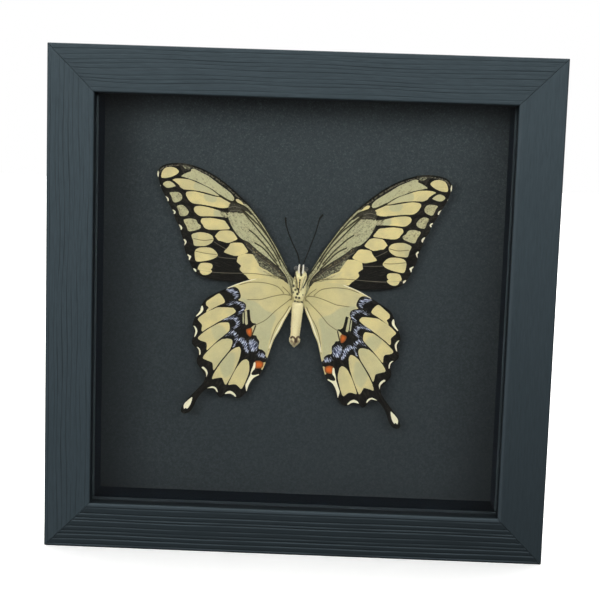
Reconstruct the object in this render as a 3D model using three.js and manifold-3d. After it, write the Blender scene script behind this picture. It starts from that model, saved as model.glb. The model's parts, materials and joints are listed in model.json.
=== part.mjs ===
// A giant swallowtail butterfly fixed, underside outwards, in a square shadow box frame.
//
// Millimetres, +Z up. The frame stands on its bottom rail with its front facing -Y.
// The origin is the centre of the floor under the frame.
//
// Everything inside the frame is laid out in three directions from the middle of the frame:
// x to the right, z up, and depth, counted from the front face of the rails towards the wall.

import * as THREE from 'three';
import { mergeVertices } from 'three/addons/utils/BufferGeometryUtils.js';
import Module from 'manifold-3d';

const wasm = await Module();
wasm.setup();

// ---- Driving dimensions of the frame ------------------------------------------------------

const SIDE = 203;               // outer side of the square frame
const DEPTH = 38;               // front face to back face of the rails
const HALF = SIDE / 2;
const GAP = 0.3;                // play between pieces that rest on one another

const RAIL_FACE = 18.6;         // width of the rail seen from the front
const RAIL_WALL = 14.1;         // thickness of the rail behind its lip
const LIP_DEPTH = 6.2;          // thickness of the lip that holds the glass in
const INNER_ROUND = 1.3;        // radius of the lip's front edge
const OUTER_ROUND = 0.8;        // radius of the rail's outer front edge

const GLASS_THICKNESS = 2;
const SPACER_THICKNESS = 4.8;   // foam strip, measured across the rail
const BOARD_FRONT = 24.3;       // depth of the mount board's front face
const BOARD_THICKNESS = 3;
const BACKING_THICKNESS = 2.5;

const TAB_WIDTH = 12;
const TAB_REACH = 8;            // how far a tab stands out over the backing
const TAB_ROOT = 6;             // how far it is driven into the rail
const TAB_THICKNESS = 0.6;
const TAB_OFFSET = 52;          // from the middle of a rail to each of its two tabs

const HANGER_LENGTH = 44;
const HANGER_HEIGHT = 9;
const HANGER_THICKNESS = 1;
const HANGER_RISE = 66;         // hanger's middle above the middle of the frame
const TOOTH_COUNT = 11;
const TOOTH_PITCH = 2.4;
const TOOTH_HEIGHT = 1.6;
const RIVET_RADIUS = 0.8;
const RIVET_HEAD_RADIUS = 2;
const RIVET_HEAD_HEIGHT = 0.7;
const RIVET_OFFSET = 18.5;      // from the hanger's middle to each rivet

// ---- Driving dimensions of the butterfly --------------------------------------------------

const WING_THICKNESS = 0.3;
const HINDWING_BACK = 21.3;     // depth of the wings' backs: the hindwings lie in front
const FOREWING_BACK = 21.9;

const BODY_X = -1.06;           // where the body's axis crosses mid height
const BODY_TURN = 3.5;          // degrees: the head leans a little to the right
const BODY_DEPTH = 20.2;        // depth of the body's axis

// The right wings are the left ones mirrored, then turned and shifted a little, because
// the butterfly was set slightly crooked.
const RIGHT_FOREWING = { turn: 2.0, scale: 1.0127, x: -2.66, z: -0.42 };
const RIGHT_HINDWING = { turn: 4.14, scale: 1, x: -1.89, z: 0.07 };

// Outlines of the left wings, [x, z]. Each run is one smooth curve, and runs meet in a corner.
const LEFT_FOREWING = [
  // leading edge, root to tip
  [[-2.0, 9.0], [-4.1, 10.2], [-6.3, 14], [-9.3, 20.2], [-12.9, 26], [-16.7, 32], [-21.4, 38],
    [-27.6, 44], [-34, 49.1], [-41, 53], [-48, 55.1], [-54, 55.2], [-58, 54.1], [-60, 51.8]],
  // outer margin, waved between the ends of the veins
  [[-60.1, 50.5], [-59.3, 48.2], [-58.8, 46.2], [-57.9, 43.9], [-56.2, 41], [-54.9, 38.2],
    [-53.4, 35.6], [-52.4, 32.4], [-50.8, 29.6], [-49.9, 26.4], [-48.8, 23.2], [-48.3, 19.8],
    [-47, 17], [-45.9, 14.2], [-44.5, 11.8], [-42.3, 9.6]],
  // inner margin, back to the root
  [[-38.5, 8.3], [-33, 7.6], [-27, 7.2], [-20, 7], [-12, 7], [-5.2, 7.4], [-2.0, 9.0]],
];

const LEFT_HINDWING = [
  // leading edge and outer margin, root to the first vein end
  [[-2.0, 5.5], [-4.6, 7], [-6, 8.5], [-9, 9.2], [-14, 9.4], [-19, 8.9], [-24, 7.5], [-28, 5.9],
    [-32, 3.9], [-36, 1.9], [-39, 0], [-40.8, -2.6], [-41.7, -4.6], [-43, -7], [-44, -9.2],
    [-44.5, -11]],
  // scallops down to the tail
  [[-43.9, -12.6], [-43.7, -14.2], [-44.1, -16.2], [-44.6, -17.9], [-44.3, -19.3]],
  [[-43.2, -20.2], [-42.2, -21.2], [-41.8, -22.6], [-41.8, -23.9], [-42.3, -25.6],
    [-42.1, -27.3]],
  [[-40.6, -28.7], [-39.5, -29.9], [-38.9, -31.3], [-38.6, -33]],
  // tail: outer edge, rounded tip, inner edge
  [[-39.2, -34.8], [-40.7, -36.7], [-42.3, -38.5], [-44.1, -40.4], [-45.8, -42.3],
    [-47.2, -44.2], [-48.3, -46.2], [-48.3, -47.8], [-47.2, -48.5], [-45.6, -48.2],
    [-44.2, -47], [-43, -45], [-42.2, -43], [-41.2, -41.3], [-40, -39.7], [-38.6, -38.2]],
  // scallops from the tail to the anal corner
  [[-37.2, -37.7], [-35.6, -37.8], [-34.4, -38.6], [-33.6, -39.7], [-32.9, -40.8],
    [-32, -41.3]],
  [[-30.4, -40.1], [-28.8, -39.6], [-27.1, -39.8], [-26, -40.8], [-25, -41.2],
    [-23.4, -40.7], [-22, -39.2], [-21.3, -38.7]],
  [[-20.8, -37.2], [-20, -35.2], [-19, -33.5], [-17.6, -32.2], [-16.3, -31.6],
    [-15.9, -30.9]],
  // inner margin, back to the root
  [[-14.9, -28.8], [-13.8, -26], [-13.1, -23.8], [-12.5, -22], [-11.9, -20], [-10.5, -16],
    [-8.3, -12], [-6.5, -8], [-4.4, -4], [-2.6, 0.5], [-2.0, 5.5]],
];

// Profiles of the body's parts, [radius, distance along the axis], head upwards.
const THORAX_PROFILE = [
  [0, 0.3], [1.7, 0.6], [2.5, 1.9], [3.1, 4], [3.35, 6.5], [3.1, 9], [2.5, 11], [1.5, 12.2],
  [0, 12.5]];
const THORAX_FLATTEN = 0.86;    // depth of the thorax over its width
const ABDOMEN_PROFILE = [
  [0, -18.7], [0.9, -17.8], [1.9, -16.8], [2.25, -15.7], [2.1, -14.4], [2, -13], [2.15, -10],
  [2.3, -6], [2.35, -2.5], [2.2, -0.6], [1.4, -0.1], [0, 0]];
const ABDOMEN_FLATTEN = 0.96;

const HEAD = { radius: 1.6, along: 13.9, depth: 19.6 };
const EYE = { radius: 1.25, across: 1.75, along: 14, depth: 19.2 };

// Centre lines, [x, z, depth]. The antennae thicken into a club over their last points.
const LEFT_ANTENNA = [
  [-1.05, 16, 19], [-1.3, 18, 19.3], [-1.9, 20, 19.6], [-2.9, 22, 19.9], [-4, 24, 20.2],
  [-4.9, 26, 20.5], [-5.8, 28, 20.8], [-6.5, 30, 21], [-7.1, 32, 21.1], [-7.3, 34.7, 21.2]];
const RIGHT_ANTENNA = [
  [0.65, 16, 19], [1.35, 18, 19.3], [2.1, 20, 19.6], [2.8, 22, 19.9], [3.5, 24, 20.2],
  [4.2, 26, 20.5], [4.9, 28, 20.8], [5.5, 30, 21], [6.1, 32.5, 21.1], [6.7, 34.6, 21.2],
  [8, 36.3, 21.3]];
const ANTENNA_RADIUS = 0.16;
const CLUB_RADIUS = 0.36;

// Folded legs, [across, along] on the underside of the thorax, in the body's own directions.
const LEGS = {
  foreleg_left: [[-1.0, 10.8], [-0.75, 8.5], [-0.6, 6.2]],
  foreleg_right: [[0.95, 10.8], [0.45, 9], [0.35, 6.6], [0.25, 4.4]],
  midleg_left: [[-2.35, 10.2], [-1.75, 8.2], [-1.45, 6.4], [-1.5, 4.8]],
  midleg_right: [[2.5, 10.4], [1.95, 8.8], [1.35, 6.6], [1.15, 4.9]],
};
const LEG_RADIUS = 0.26;

const PALP_RADIUS = 0.45;
const PALP_DEPTH = 16.7;
const PALP_LENGTH = 3.2;
const PALP_ACROSS = 0.75;
const PALP_ALONG = 14.1;        // middle of the palp's length

const PAD_WIDTH = 5;
const PAD_HEIGHT = 8;
const PAD_ALONG = 6.5;

// ---- Finishes ---------------------------------------------------------------------------

const finish = (color, roughness, metalness = 0) =>
  () => new THREE.MeshStandardMaterial({ color, roughness, metalness });

const stainedWood = finish(0x2b3135, 0.55);
const windowGlass = () => new THREE.MeshStandardMaterial({
  color: 0xeef4f3, roughness: 0.03, metalness: 0, transparent: true, opacity: 0.2 });
const blackFoam = finish(0x17191b, 0.9);
const mountPaper = finish(0x3c474c, 0.95);
const hardboard = finish(0x7a5a3c, 0.85);
const steel = finish(0x9a9ea0, 0.4, 1);
const brass = finish(0xb08d45, 0.35, 1);
const wingScales = finish(0xe6dcae, 0.8);
const bodyScales = finish(0xf0e8c8, 0.9);
const darkCuticle = finish(0x2a231c, 0.6);

// ---- Helpers ----------------------------------------------------------------------------

const radians = THREE.MathUtils.degToRad;

/** Y of a depth counted from the front face of the rails. */
const yAt = (depth) => depth - DEPTH / 2;

function piece(name, geometry, material) {
  const mesh = new THREE.Mesh(geometry, material());
  mesh.name = name;
  return mesh;
}

/** A flat square or rectangular sheet between two depths, centred on x and z. */
function sheet(width, height, front, back, x = 0, z = 0) {
  const geometry = new THREE.BoxGeometry(width, back - front, height);
  return geometry.translate(x, yAt((front + back) / 2), z);
}

/** A closed three.js geometry as a manifold-3d solid. */
function toSolid(geometry) {
  const bare = geometry.clone();
  bare.deleteAttribute('normal');
  bare.deleteAttribute('uv');
  const merged = mergeVertices(bare, 1e-4);
  return new wasm.Manifold(new wasm.Mesh({
    numProp: 3,
    vertProperties: new Float32Array(merged.attributes.position.array),
    triVerts: new Uint32Array(merged.index.array),
  }));
}

/** A manifold-3d solid as a three.js geometry. */
function toGeometry(solid) {
  const mesh = solid.getMesh();
  const geometry = new THREE.BufferGeometry();
  geometry.setAttribute('position', new THREE.BufferAttribute(mesh.vertProperties, 3));
  geometry.setIndex(new THREE.BufferAttribute(mesh.triVerts, 1));
  geometry.computeVertexNormals();
  return geometry;
}

const cut = (geometry, ...tools) =>
  toGeometry(tools.reduce((solid, tool) => solid.subtract(toSolid(tool)), toSolid(geometry)));

const join = (first, ...others) =>
  toGeometry(others.reduce((solid, other) => solid.add(toSolid(other)), toSolid(first)));

// ---- Frame ------------------------------------------------------------------------------

/** Cross-section of a rail: x is the inset from the outer edge, y the depth. */
function railSection() {
  const section = new THREE.Shape();
  section.moveTo(0, DEPTH);
  section.lineTo(0, OUTER_ROUND);
  section.absarc(OUTER_ROUND, OUTER_ROUND, OUTER_ROUND, Math.PI, 1.5 * Math.PI, false);
  section.lineTo(RAIL_FACE - INNER_ROUND, 0);
  section.absarc(RAIL_FACE - INNER_ROUND, INNER_ROUND, INNER_ROUND, 1.5 * Math.PI, 0, false);
  section.lineTo(RAIL_FACE, LIP_DEPTH);
  section.lineTo(RAIL_WALL, LIP_DEPTH);
  section.lineTo(RAIL_WALL, DEPTH);
  section.closePath();
  return section;
}

/** The bottom rail: the section carried along x, its ends pulled in to make the mitres. */
function railGeometry() {
  const geometry = new THREE.ExtrudeGeometry(railSection(), {
    depth: 1, steps: 1, bevelEnabled: false, curveSegments: 5 });
  const pullBack = GAP / Math.SQRT2;
  const position = geometry.attributes.position;
  for (let i = 0; i < position.count; i += 1) {
    const inset = position.getX(i);
    const depth = position.getY(i);
    const side = 1 - 2 * position.getZ(i);
    position.setXYZ(i, side * (HALF - inset - pullBack), yAt(depth), inset - HALF);
  }
  return geometry;
}

const TAB_FRONT = BOARD_FRONT + BOARD_THICKNESS + GAP + BACKING_THICKNESS + GAP;

/** A holding tab of the bottom rail, or the slot it is driven into. */
function tabGeometry(x, play) {
  const low = RAIL_WALL - TAB_ROOT - play - HALF;
  const high = RAIL_WALL + TAB_REACH - HALF;
  return sheet(TAB_WIDTH + 2 * play, high - low, TAB_FRONT - play,
    TAB_FRONT + TAB_THICKNESS + play, x, (low + high) / 2);
}

const frame = new THREE.Group();
frame.position.z = HALF;

const TAB_PLACES = [-TAB_OFFSET, TAB_OFFSET];
const RAILS = { bottom: 0, left: 90, top: 180, right: 270 };
for (const [side, turn] of Object.entries(RAILS)) {
  const edge = new THREE.Group();
  edge.rotation.y = radians(turn);
  const slots = TAB_PLACES.map((x) => tabGeometry(x, GAP));
  edge.add(piece(`rail_${side}`, cut(railGeometry(), ...slots), stainedWood));
  TAB_PLACES.forEach((x, i) => {
    edge.add(piece(`tab_${side}_${i + 1}`, tabGeometry(x, 0), steel));
  });
  frame.add(edge);
}

const sheetSide = SIDE - 2 * (RAIL_WALL + GAP);
const glassFront = LIP_DEPTH + GAP;
const glassBack = glassFront + GLASS_THICKNESS;
frame.add(piece('glass_pane', sheet(sheetSide, sheetSide, glassFront, glassBack), windowGlass));

const spacerFront = glassBack + GAP;
const spacerBack = BOARD_FRONT - GAP;
const spacerOffset = (sheetSide - SPACER_THICKNESS) / 2;
const sideSpacerLength = sheetSide - 2 * (SPACER_THICKNESS + GAP);
for (const [name, sign] of [['top', 1], ['bottom', -1]]) {
  frame.add(piece(`spacer_${name}`, sheet(sheetSide, SPACER_THICKNESS, spacerFront, spacerBack,
    0, sign * spacerOffset), blackFoam));
}
for (const [name, sign] of [['left', -1], ['right', 1]]) {
  frame.add(piece(`spacer_${name}`, sheet(SPACER_THICKNESS, sideSpacerLength, spacerFront,
    spacerBack, sign * spacerOffset), blackFoam));
}

frame.add(piece('mount_board', sheet(sheetSide, sheetSide, BOARD_FRONT,
  BOARD_FRONT + BOARD_THICKNESS), mountPaper));

// ---- Backing, hanger and rivets ----------------------------------------------------------

/** A round bar from one depth to another. */
function bar(radius, front, back, x, z) {
  const geometry = new THREE.CylinderGeometry(radius, radius, back - front, 16);
  return geometry.translate(x, yAt((front + back) / 2), z);
}

const backingFront = BOARD_FRONT + BOARD_THICKNESS + GAP;
const backingBack = backingFront + BACKING_THICKNESS;
const hangerFront = backingBack + GAP;
const hangerBack = hangerFront + HANGER_THICKNESS;
const RIVET_PLACES = { left: -RIVET_OFFSET, right: RIVET_OFFSET };
const rivetHoles = Object.values(RIVET_PLACES).map((x) =>
  bar(RIVET_RADIUS + GAP, backingFront - 1, hangerBack + 1, x, HANGER_RISE));

const backing = sheet(sheetSide, sheetSide, backingFront, backingBack);
frame.add(piece('backing_board', cut(backing, ...rivetHoles), hardboard));

/** A flat strip with rounded ends and a row of teeth along the middle of its lower edge. */
function hangerGeometry() {
  const outline = new THREE.Shape();
  const halfHeight = HANGER_HEIGHT / 2;
  const straight = HANGER_LENGTH / 2 - halfHeight;
  const firstTooth = -TOOTH_COUNT * TOOTH_PITCH / 2;
  outline.moveTo(straight, halfHeight);
  outline.absarc(-straight, 0, halfHeight, 0.5 * Math.PI, 1.5 * Math.PI, false);
  outline.lineTo(firstTooth, -halfHeight);
  for (let i = 0; i < TOOTH_COUNT; i += 1) {
    const x = firstTooth + i * TOOTH_PITCH;
    outline.lineTo(x + TOOTH_PITCH / 2, TOOTH_HEIGHT - halfHeight);
    outline.lineTo(x + TOOTH_PITCH, -halfHeight);
  }
  outline.lineTo(straight, -halfHeight);
  outline.absarc(straight, 0, halfHeight, 1.5 * Math.PI, 0.5 * Math.PI, false);
  const geometry = new THREE.ExtrudeGeometry(outline, {
    depth: HANGER_THICKNESS, bevelEnabled: false, curveSegments: 10 });
  return geometry.rotateX(Math.PI / 2).translate(0, yAt(hangerBack), HANGER_RISE);
}

frame.add(piece('hanger', cut(hangerGeometry(), ...rivetHoles), brass));

/** A rivet with a domed head behind the hanger: its profile turned about its own axis. */
function rivetGeometry(x) {
  const length = hangerBack + GAP - backingFront;
  const profile = [[0, 0], [RIVET_RADIUS, 0], [RIVET_RADIUS, length],
    [RIVET_HEAD_RADIUS, length], [RIVET_HEAD_RADIUS * 0.75, length + RIVET_HEAD_HEIGHT * 0.7],
    [0, length + RIVET_HEAD_HEIGHT]];
  const points = profile.map(([radius, along]) => new THREE.Vector2(radius, along));
  return new THREE.LatheGeometry(points, 16).translate(x, yAt(backingFront), HANGER_RISE);
}

for (const [side, x] of Object.entries(RIVET_PLACES)) {
  frame.add(piece(`hanger_rivet_${side}`, rivetGeometry(x), steel));
}

// ---- Butterfly's body ---------------------------------------------------------------------

const body = new THREE.Group();
body.position.x = BODY_X;
body.rotation.y = radians(BODY_TURN);
frame.add(body);

/** A profile turned about the body's axis, flattened in depth, and grown by some play. */
function turned(profile, flatten, play = 0) {
  const points = profile.map(([radius, along]) => new THREE.Vector2(radius, along));
  const geometry = new THREE.LatheGeometry(points, 28).rotateX(Math.PI / 2);
  const widest = Math.max(...profile.map(([radius]) => radius));
  const grow = 1 + play / widest;
  return geometry.scale(grow, flatten * grow, 1).translate(0, yAt(BODY_DEPTH), 0);
}

body.add(piece('thorax', turned(THORAX_PROFILE, THORAX_FLATTEN), bodyScales));
body.add(piece('abdomen', turned(ABDOMEN_PROFILE, ABDOMEN_FLATTEN), bodyScales));

function ball(radius, across, along, depth) {
  return new THREE.SphereGeometry(radius, 20, 12).translate(across, yAt(depth), along);
}

const skull = ball(HEAD.radius, 0, HEAD.along, HEAD.depth);
const eyes = [-1, 1].map((sign) =>
  ball(EYE.radius, sign * EYE.across, EYE.along, EYE.depth));
const thoraxSpace = turned(THORAX_PROFILE, THORAX_FLATTEN, GAP);
body.add(piece('head', cut(join(skull, ...eyes), thoraxSpace), darkCuticle));

for (const [side, sign] of [['left', -1], ['right', 1]]) {
  const palp = new THREE.CapsuleGeometry(PALP_RADIUS, PALP_LENGTH - 2 * PALP_RADIUS, 4, 10);
  palp.rotateX(Math.PI / 2).translate(sign * PALP_ACROSS, yAt(PALP_DEPTH), PALP_ALONG);
  body.add(piece(`palp_${side}`, palp, bodyScales));
}

/** A tube along a centre line, its radius worked out from how far along it is, 0 to 1. */
function tube(points, radiusAt, steps, sides) {
  const path = new THREE.CatmullRomCurve3(points);
  const section = new THREE.Shape();
  section.absarc(0, 0, 1, 0, 2 * Math.PI, false);
  const geometry = new THREE.ExtrudeGeometry(section, {
    steps, extrudePath: path, curveSegments: sides / 2, bevelEnabled: false });
  // Every ring was made with radius 1, so each vertex is drawn in towards the centre line.
  const position = geometry.attributes.position;
  const stations = path.getSpacedPoints(steps);
  const vertex = new THREE.Vector3();
  for (let i = 0; i < position.count; i += 1) {
    vertex.fromBufferAttribute(position, i);
    const distances = stations.map((station) => Math.abs(station.distanceTo(vertex) - 1));
    const ring = distances.indexOf(Math.min(...distances));
    vertex.sub(stations[ring]).multiplyScalar(radiusAt(ring / steps)).add(stations[ring]);
    position.setXYZ(i, vertex.x, vertex.y, vertex.z);
  }
  return geometry;
}

/** How far in front of its axis the thorax stands at a point seen from the front. */
function thoraxDepthAt(across, along) {
  const heights = THORAX_PROFILE.map(([, height]) => height);
  const next = heights.findIndex((height) => height >= along);
  const [lowRadius, low] = THORAX_PROFILE[next - 1];
  const [highRadius, high] = THORAX_PROFILE[next];
  const radius = THREE.MathUtils.mapLinear(along, low, high, lowRadius, highRadius);
  return THORAX_FLATTEN * Math.sqrt(Math.max(0, radius * radius - across * across));
}

for (const [name, route] of Object.entries(LEGS)) {
  const stand = LEG_RADIUS + GAP;
  const points = route.map(([across, along]) => new THREE.Vector3(
    across, yAt(BODY_DEPTH - thoraxDepthAt(across, along) - stand), along));
  body.add(piece(name, tube(points, () => LEG_RADIUS, 8, 6), bodyScales));
}

frame.add(piece('mounting_pad', sheet(PAD_WIDTH, PAD_HEIGHT,
  BODY_DEPTH + THORAX_FLATTEN * THORAX_PROFILE[4][0] + GAP, BOARD_FRONT - GAP,
  BODY_X, PAD_ALONG), blackFoam));

/** Thin along the stalk, then swelling to the club over the last eighth. */
function antennaRadius(part) {
  const CLUB_START = 0.84;
  const swell = THREE.MathUtils.smoothstep(part, CLUB_START, 0.93);
  return THREE.MathUtils.lerp(ANTENNA_RADIUS, CLUB_RADIUS, swell);
}

for (const [side, route] of [['left', LEFT_ANTENNA], ['right', RIGHT_ANTENNA]]) {
  const points = route.map(([x, z, depth]) => new THREE.Vector3(x, yAt(depth), z));
  frame.add(piece(`antenna_${side}`, tube(points, antennaRadius, 24, 6), darkCuticle));
}

// ---- Wings --------------------------------------------------------------------------------

/** A closed outline: each run is a smooth curve through its points, from the last one's end. */
function wingOutline(runs, mirror) {
  const toPoint = ([x, z]) => new THREE.Vector2(mirror * x, z);
  const outline = new THREE.Shape();
  outline.moveTo(...toPoint(runs[0][0]).toArray());
  runs.forEach((run, i) => {
    outline.splineThru(run.slice(i === 0 ? 1 : 0).map(toPoint));
  });
  return outline;
}

function wingGeometry(runs, mirror, back) {
  const geometry = new THREE.ExtrudeGeometry(wingOutline(runs, mirror), {
    depth: WING_THICKNESS, bevelEnabled: false, curveSegments: 2 });
  return geometry.rotateX(Math.PI / 2).translate(0, yAt(back), 0);
}

// The wings stop short of the thorax and abdomen, whose space is taken out of them.
const bodyPlace = new THREE.Matrix4().makeRotationY(radians(BODY_TURN)).setPosition(BODY_X, 0, 0);
const bodySpace = join(thoraxSpace, turned(ABDOMEN_PROFILE, ABDOMEN_FLATTEN, GAP));
bodySpace.applyMatrix4(bodyPlace);

function wing(name, runs, back, place) {
  const mirror = place ? -1 : 1;
  const geometry = wingGeometry(runs, mirror, back);
  if (place) {
    geometry.scale(place.scale, 1, place.scale);
    geometry.rotateY(radians(place.turn)).translate(place.x, 0, place.z);
  }
  return piece(name, cut(geometry, bodySpace), wingScales);
}

frame.add(wing('forewing_left', LEFT_FOREWING, FOREWING_BACK));
frame.add(wing('forewing_right', LEFT_FOREWING, FOREWING_BACK, RIGHT_FOREWING));
frame.add(wing('hindwing_left', LEFT_HINDWING, HINDWING_BACK));
frame.add(wing('hindwing_right', LEFT_HINDWING, HINDWING_BACK, RIGHT_HINDWING));

const framedButterfly = new THREE.Group();
framedButterfly.add(frame);

export default framedButterfly;
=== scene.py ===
# %% [markdown]
# # A swallowtail butterfly in a shadow box
#
# A dried butterfly is fixed, underside outwards, on a sheet of blue-black paper behind glass.
# The box is four mitred rails of black-stained wood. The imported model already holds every
# piece at its real size. This script gives each one the surface that the eye expects: grain
# in the rails, scales and veins on the wings, and hair on the body.
#
# Lengths below are millimetres counted from the middle of the frame: x to the right, z up,
# and depth from the front face of the rails towards the wall. One function turns them into
# the metres of the model, so that each number can be checked with a ruler.

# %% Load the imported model
import json
from math import cos, pi, radians, sin

import bmesh
import bpy
import numpy as np
from mathutils import Matrix, Vector

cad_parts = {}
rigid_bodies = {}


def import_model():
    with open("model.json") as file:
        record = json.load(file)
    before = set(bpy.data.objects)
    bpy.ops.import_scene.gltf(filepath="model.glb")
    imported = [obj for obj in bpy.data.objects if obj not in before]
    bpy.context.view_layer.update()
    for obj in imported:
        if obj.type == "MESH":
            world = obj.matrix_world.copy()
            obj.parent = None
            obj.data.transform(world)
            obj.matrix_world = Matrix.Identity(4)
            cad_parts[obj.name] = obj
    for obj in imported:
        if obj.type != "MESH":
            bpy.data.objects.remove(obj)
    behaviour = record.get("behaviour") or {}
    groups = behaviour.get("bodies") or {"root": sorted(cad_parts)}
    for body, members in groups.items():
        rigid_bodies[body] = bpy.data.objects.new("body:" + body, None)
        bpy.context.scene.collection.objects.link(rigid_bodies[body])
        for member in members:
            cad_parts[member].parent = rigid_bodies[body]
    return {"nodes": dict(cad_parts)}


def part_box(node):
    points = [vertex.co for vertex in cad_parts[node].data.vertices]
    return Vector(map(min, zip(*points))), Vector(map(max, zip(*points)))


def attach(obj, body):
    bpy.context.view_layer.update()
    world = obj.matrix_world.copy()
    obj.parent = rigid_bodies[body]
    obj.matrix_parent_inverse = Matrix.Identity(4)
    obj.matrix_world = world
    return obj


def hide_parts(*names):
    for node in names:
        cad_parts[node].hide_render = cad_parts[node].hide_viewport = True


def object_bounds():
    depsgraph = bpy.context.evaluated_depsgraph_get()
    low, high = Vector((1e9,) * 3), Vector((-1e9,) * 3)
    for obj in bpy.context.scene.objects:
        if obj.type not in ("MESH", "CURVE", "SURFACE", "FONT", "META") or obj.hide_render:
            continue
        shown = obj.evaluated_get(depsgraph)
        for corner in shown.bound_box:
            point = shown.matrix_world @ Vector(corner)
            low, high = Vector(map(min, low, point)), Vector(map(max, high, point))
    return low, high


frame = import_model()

CAD_BOX = [list(corner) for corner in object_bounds()]
print("nodes:", len(frame["nodes"]), "box:", CAD_BOX)

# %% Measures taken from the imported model
MM = 0.001
LOW, HIGH = (np.array(corner) / MM for corner in CAD_BOX)
SIDE, DEPTH, HEIGHT = HIGH - LOW
HALF = SIDE / 2


def laid(x, depth, z):
    """Millimetres from the frame's middle as model metres: y is depth less half the frame's."""
    points = np.stack(np.broadcast_arrays(x, depth - DEPTH / 2, z + HEIGHT / 2), axis=-1)
    return points * MM


def node_depths(node):
    """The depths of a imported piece's front and back, in millimetres."""
    low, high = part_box(node)
    return low[1] / MM + DEPTH / 2, high[1] / MM + DEPTH / 2


print(f"frame {SIDE:.1f} x {HEIGHT:.1f} mm, {DEPTH:.1f} mm deep")
print("mount board depths", node_depths("mount_board"))

# %% [markdown]
# ## Camera, floor and light
#
# The viewer stands a little above the middle of the frame and looks slightly down, with a
# long lens, so that the rails stay nearly square. A wide, low soft lamp just above the viewer
# gives the gentle shade round the wings, and weak lamps at the sides, behind and overhead keep
# the other faces of the box readable. The floor isn't mirrored in glossy things and doesn't
# light the box, because a pale floor would lay a grey veil over the glass.

# %% Camera
CAMERA_PLACE = (0.013258, -0.581858, 0.186277)
CAMERA_YAW, CAMERA_PITCH, CAMERA_ROLL = radians(-1.33465), radians(-8.19297), radians(1.83969)
CAMERA_LENS, CAMERA_SENSOR = 85.902, 36
CAMERA_NEAREST = 0.01

ahead = Vector((sin(CAMERA_YAW) * cos(CAMERA_PITCH), cos(CAMERA_YAW) * cos(CAMERA_PITCH),
                sin(CAMERA_PITCH)))
level = Vector((cos(CAMERA_YAW), -sin(CAMERA_YAW), 0))
upright = level.cross(ahead)
right = cos(CAMERA_ROLL) * level + sin(CAMERA_ROLL) * upright
above = cos(CAMERA_ROLL) * upright - sin(CAMERA_ROLL) * level

camera = bpy.data.objects.new("camera", bpy.data.cameras.new("camera"))
camera.data.lens = CAMERA_LENS
camera.data.sensor_width = CAMERA_SENSOR
camera.data.clip_start = CAMERA_NEAREST
camera.matrix_world = Matrix.Translation(CAMERA_PLACE) @ Matrix(
    (right, above, -ahead)).transposed().to_4x4()
bpy.context.scene.collection.objects.link(camera)
bpy.context.scene.camera = camera
bpy.context.scene.view_settings.view_transform = "Standard"
print("camera looks along", [round(value, 3) for value in ahead])

# %% Lamps
LAMP_TARGET = Vector((0, 0, HEIGHT / 2 * MM))
# Each lamp: its place, width and height in metres, and its power in watts.
LAMPS = {
    "key_lamp": ((-0.08, -0.57, 0.36), 1.10, 0.20, 2.9),
    "left_lamp": ((-0.62, -0.72, 0.45), 0.5, 0.5, 2.3),
    "right_lamp": ((0.62, -0.72, 0.45), 0.5, 0.5, 2.1),
    "back_lamp": ((0.30, 1.00, 0.60), 0.6, 0.6, 5.0),
    "ceiling_lamp": ((0, 1.4, 2.4), 3.0, 3.0, 110.0),
}


def soft_lamp(name, place, width, height, watts):
    """A rectangular lamp, turned to face the middle of the frame."""
    light = bpy.data.lights.new(name, "AREA")
    light.shape = "RECTANGLE"
    light.size, light.size_y = width, height
    light.energy = watts
    lamp = bpy.data.objects.new(name, light)
    lamp.location = place
    lamp.rotation_euler = (LAMP_TARGET - Vector(place)).to_track_quat("-Z", "Y").to_euler()
    bpy.context.scene.collection.objects.link(lamp)


for name, measures in LAMPS.items():
    soft_lamp(name, *measures)
print("lamps:", sorted(light.name for light in bpy.data.lights))

# %% Surroundings
# How bright the surroundings are for faces that look up or down, and for mirrors and glass.
SKY_ABOVE, SKY_BELOW = 0.26, 0.03
SKY_MIRRORED = 0.06
HORIZON_LOW, HORIZON_HIGH = -0.15, 0.35

world = bpy.data.worlds.new("studio")
bpy.context.scene.world = world
world.use_nodes = True
sky = world.node_tree.nodes["Background"]
sky.inputs["Color"].default_value = (1, 1, 1, 1)


def sky_node(kind, sockets, output, **settings):
    """A node of the surroundings, its sockets filled with numbers or with other outputs."""
    node = world.node_tree.nodes.new("ShaderNode" + kind)
    for key, value in settings.items():
        setattr(node, key, value)
    for key, value in sockets.items():
        if isinstance(value, bpy.types.NodeSocket):
            world.node_tree.links.new(value, node.inputs[key])
        else:
            node.inputs[key].default_value = value
    return node.outputs[output]


# Surfaces are lit from above only; mirrors and glass see a dim room; the viewer sees white.
direction = sky_node("TexCoord", {}, "Generated")
height = sky_node("SeparateXYZ", {"Vector": direction}, "Z")
lighting = sky_node("MapRange", {"Value": height, "From Min": HORIZON_LOW, "From Max": HORIZON_HIGH,
                                 "To Min": SKY_BELOW, "To Max": SKY_ABOVE}, "Result")
rays = world.node_tree.nodes.new("ShaderNodeLightPath").outputs
mirrored = sky_node("Math", {0: rays["Is Glossy Ray"], 1: rays["Is Transmission Ray"]}, "Value",
                    operation="MAXIMUM")
dimmed = sky_node("MapRange", {"Value": mirrored, "To Min": lighting, "To Max": SKY_MIRRORED},
                  "Result")
white = sky_node("MapRange", {"Value": rays["Is Camera Ray"], "To Min": dimmed, "To Max": 1.0},
                 "Result")
world.node_tree.links.new(white, sky.inputs["Strength"])
print("surroundings from", SKY_BELOW, "below to", SKY_ABOVE, "above")

# %% [markdown]
# ## Tools for finishes
#
# Every finish is a small network of nodes that reads the piece's own coordinates, so grain
# and fibres keep their real size in millimetres. A short class keeps the networks readable:
# each method adds one node and hands back its output, so a finish reads like a sum.

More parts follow.
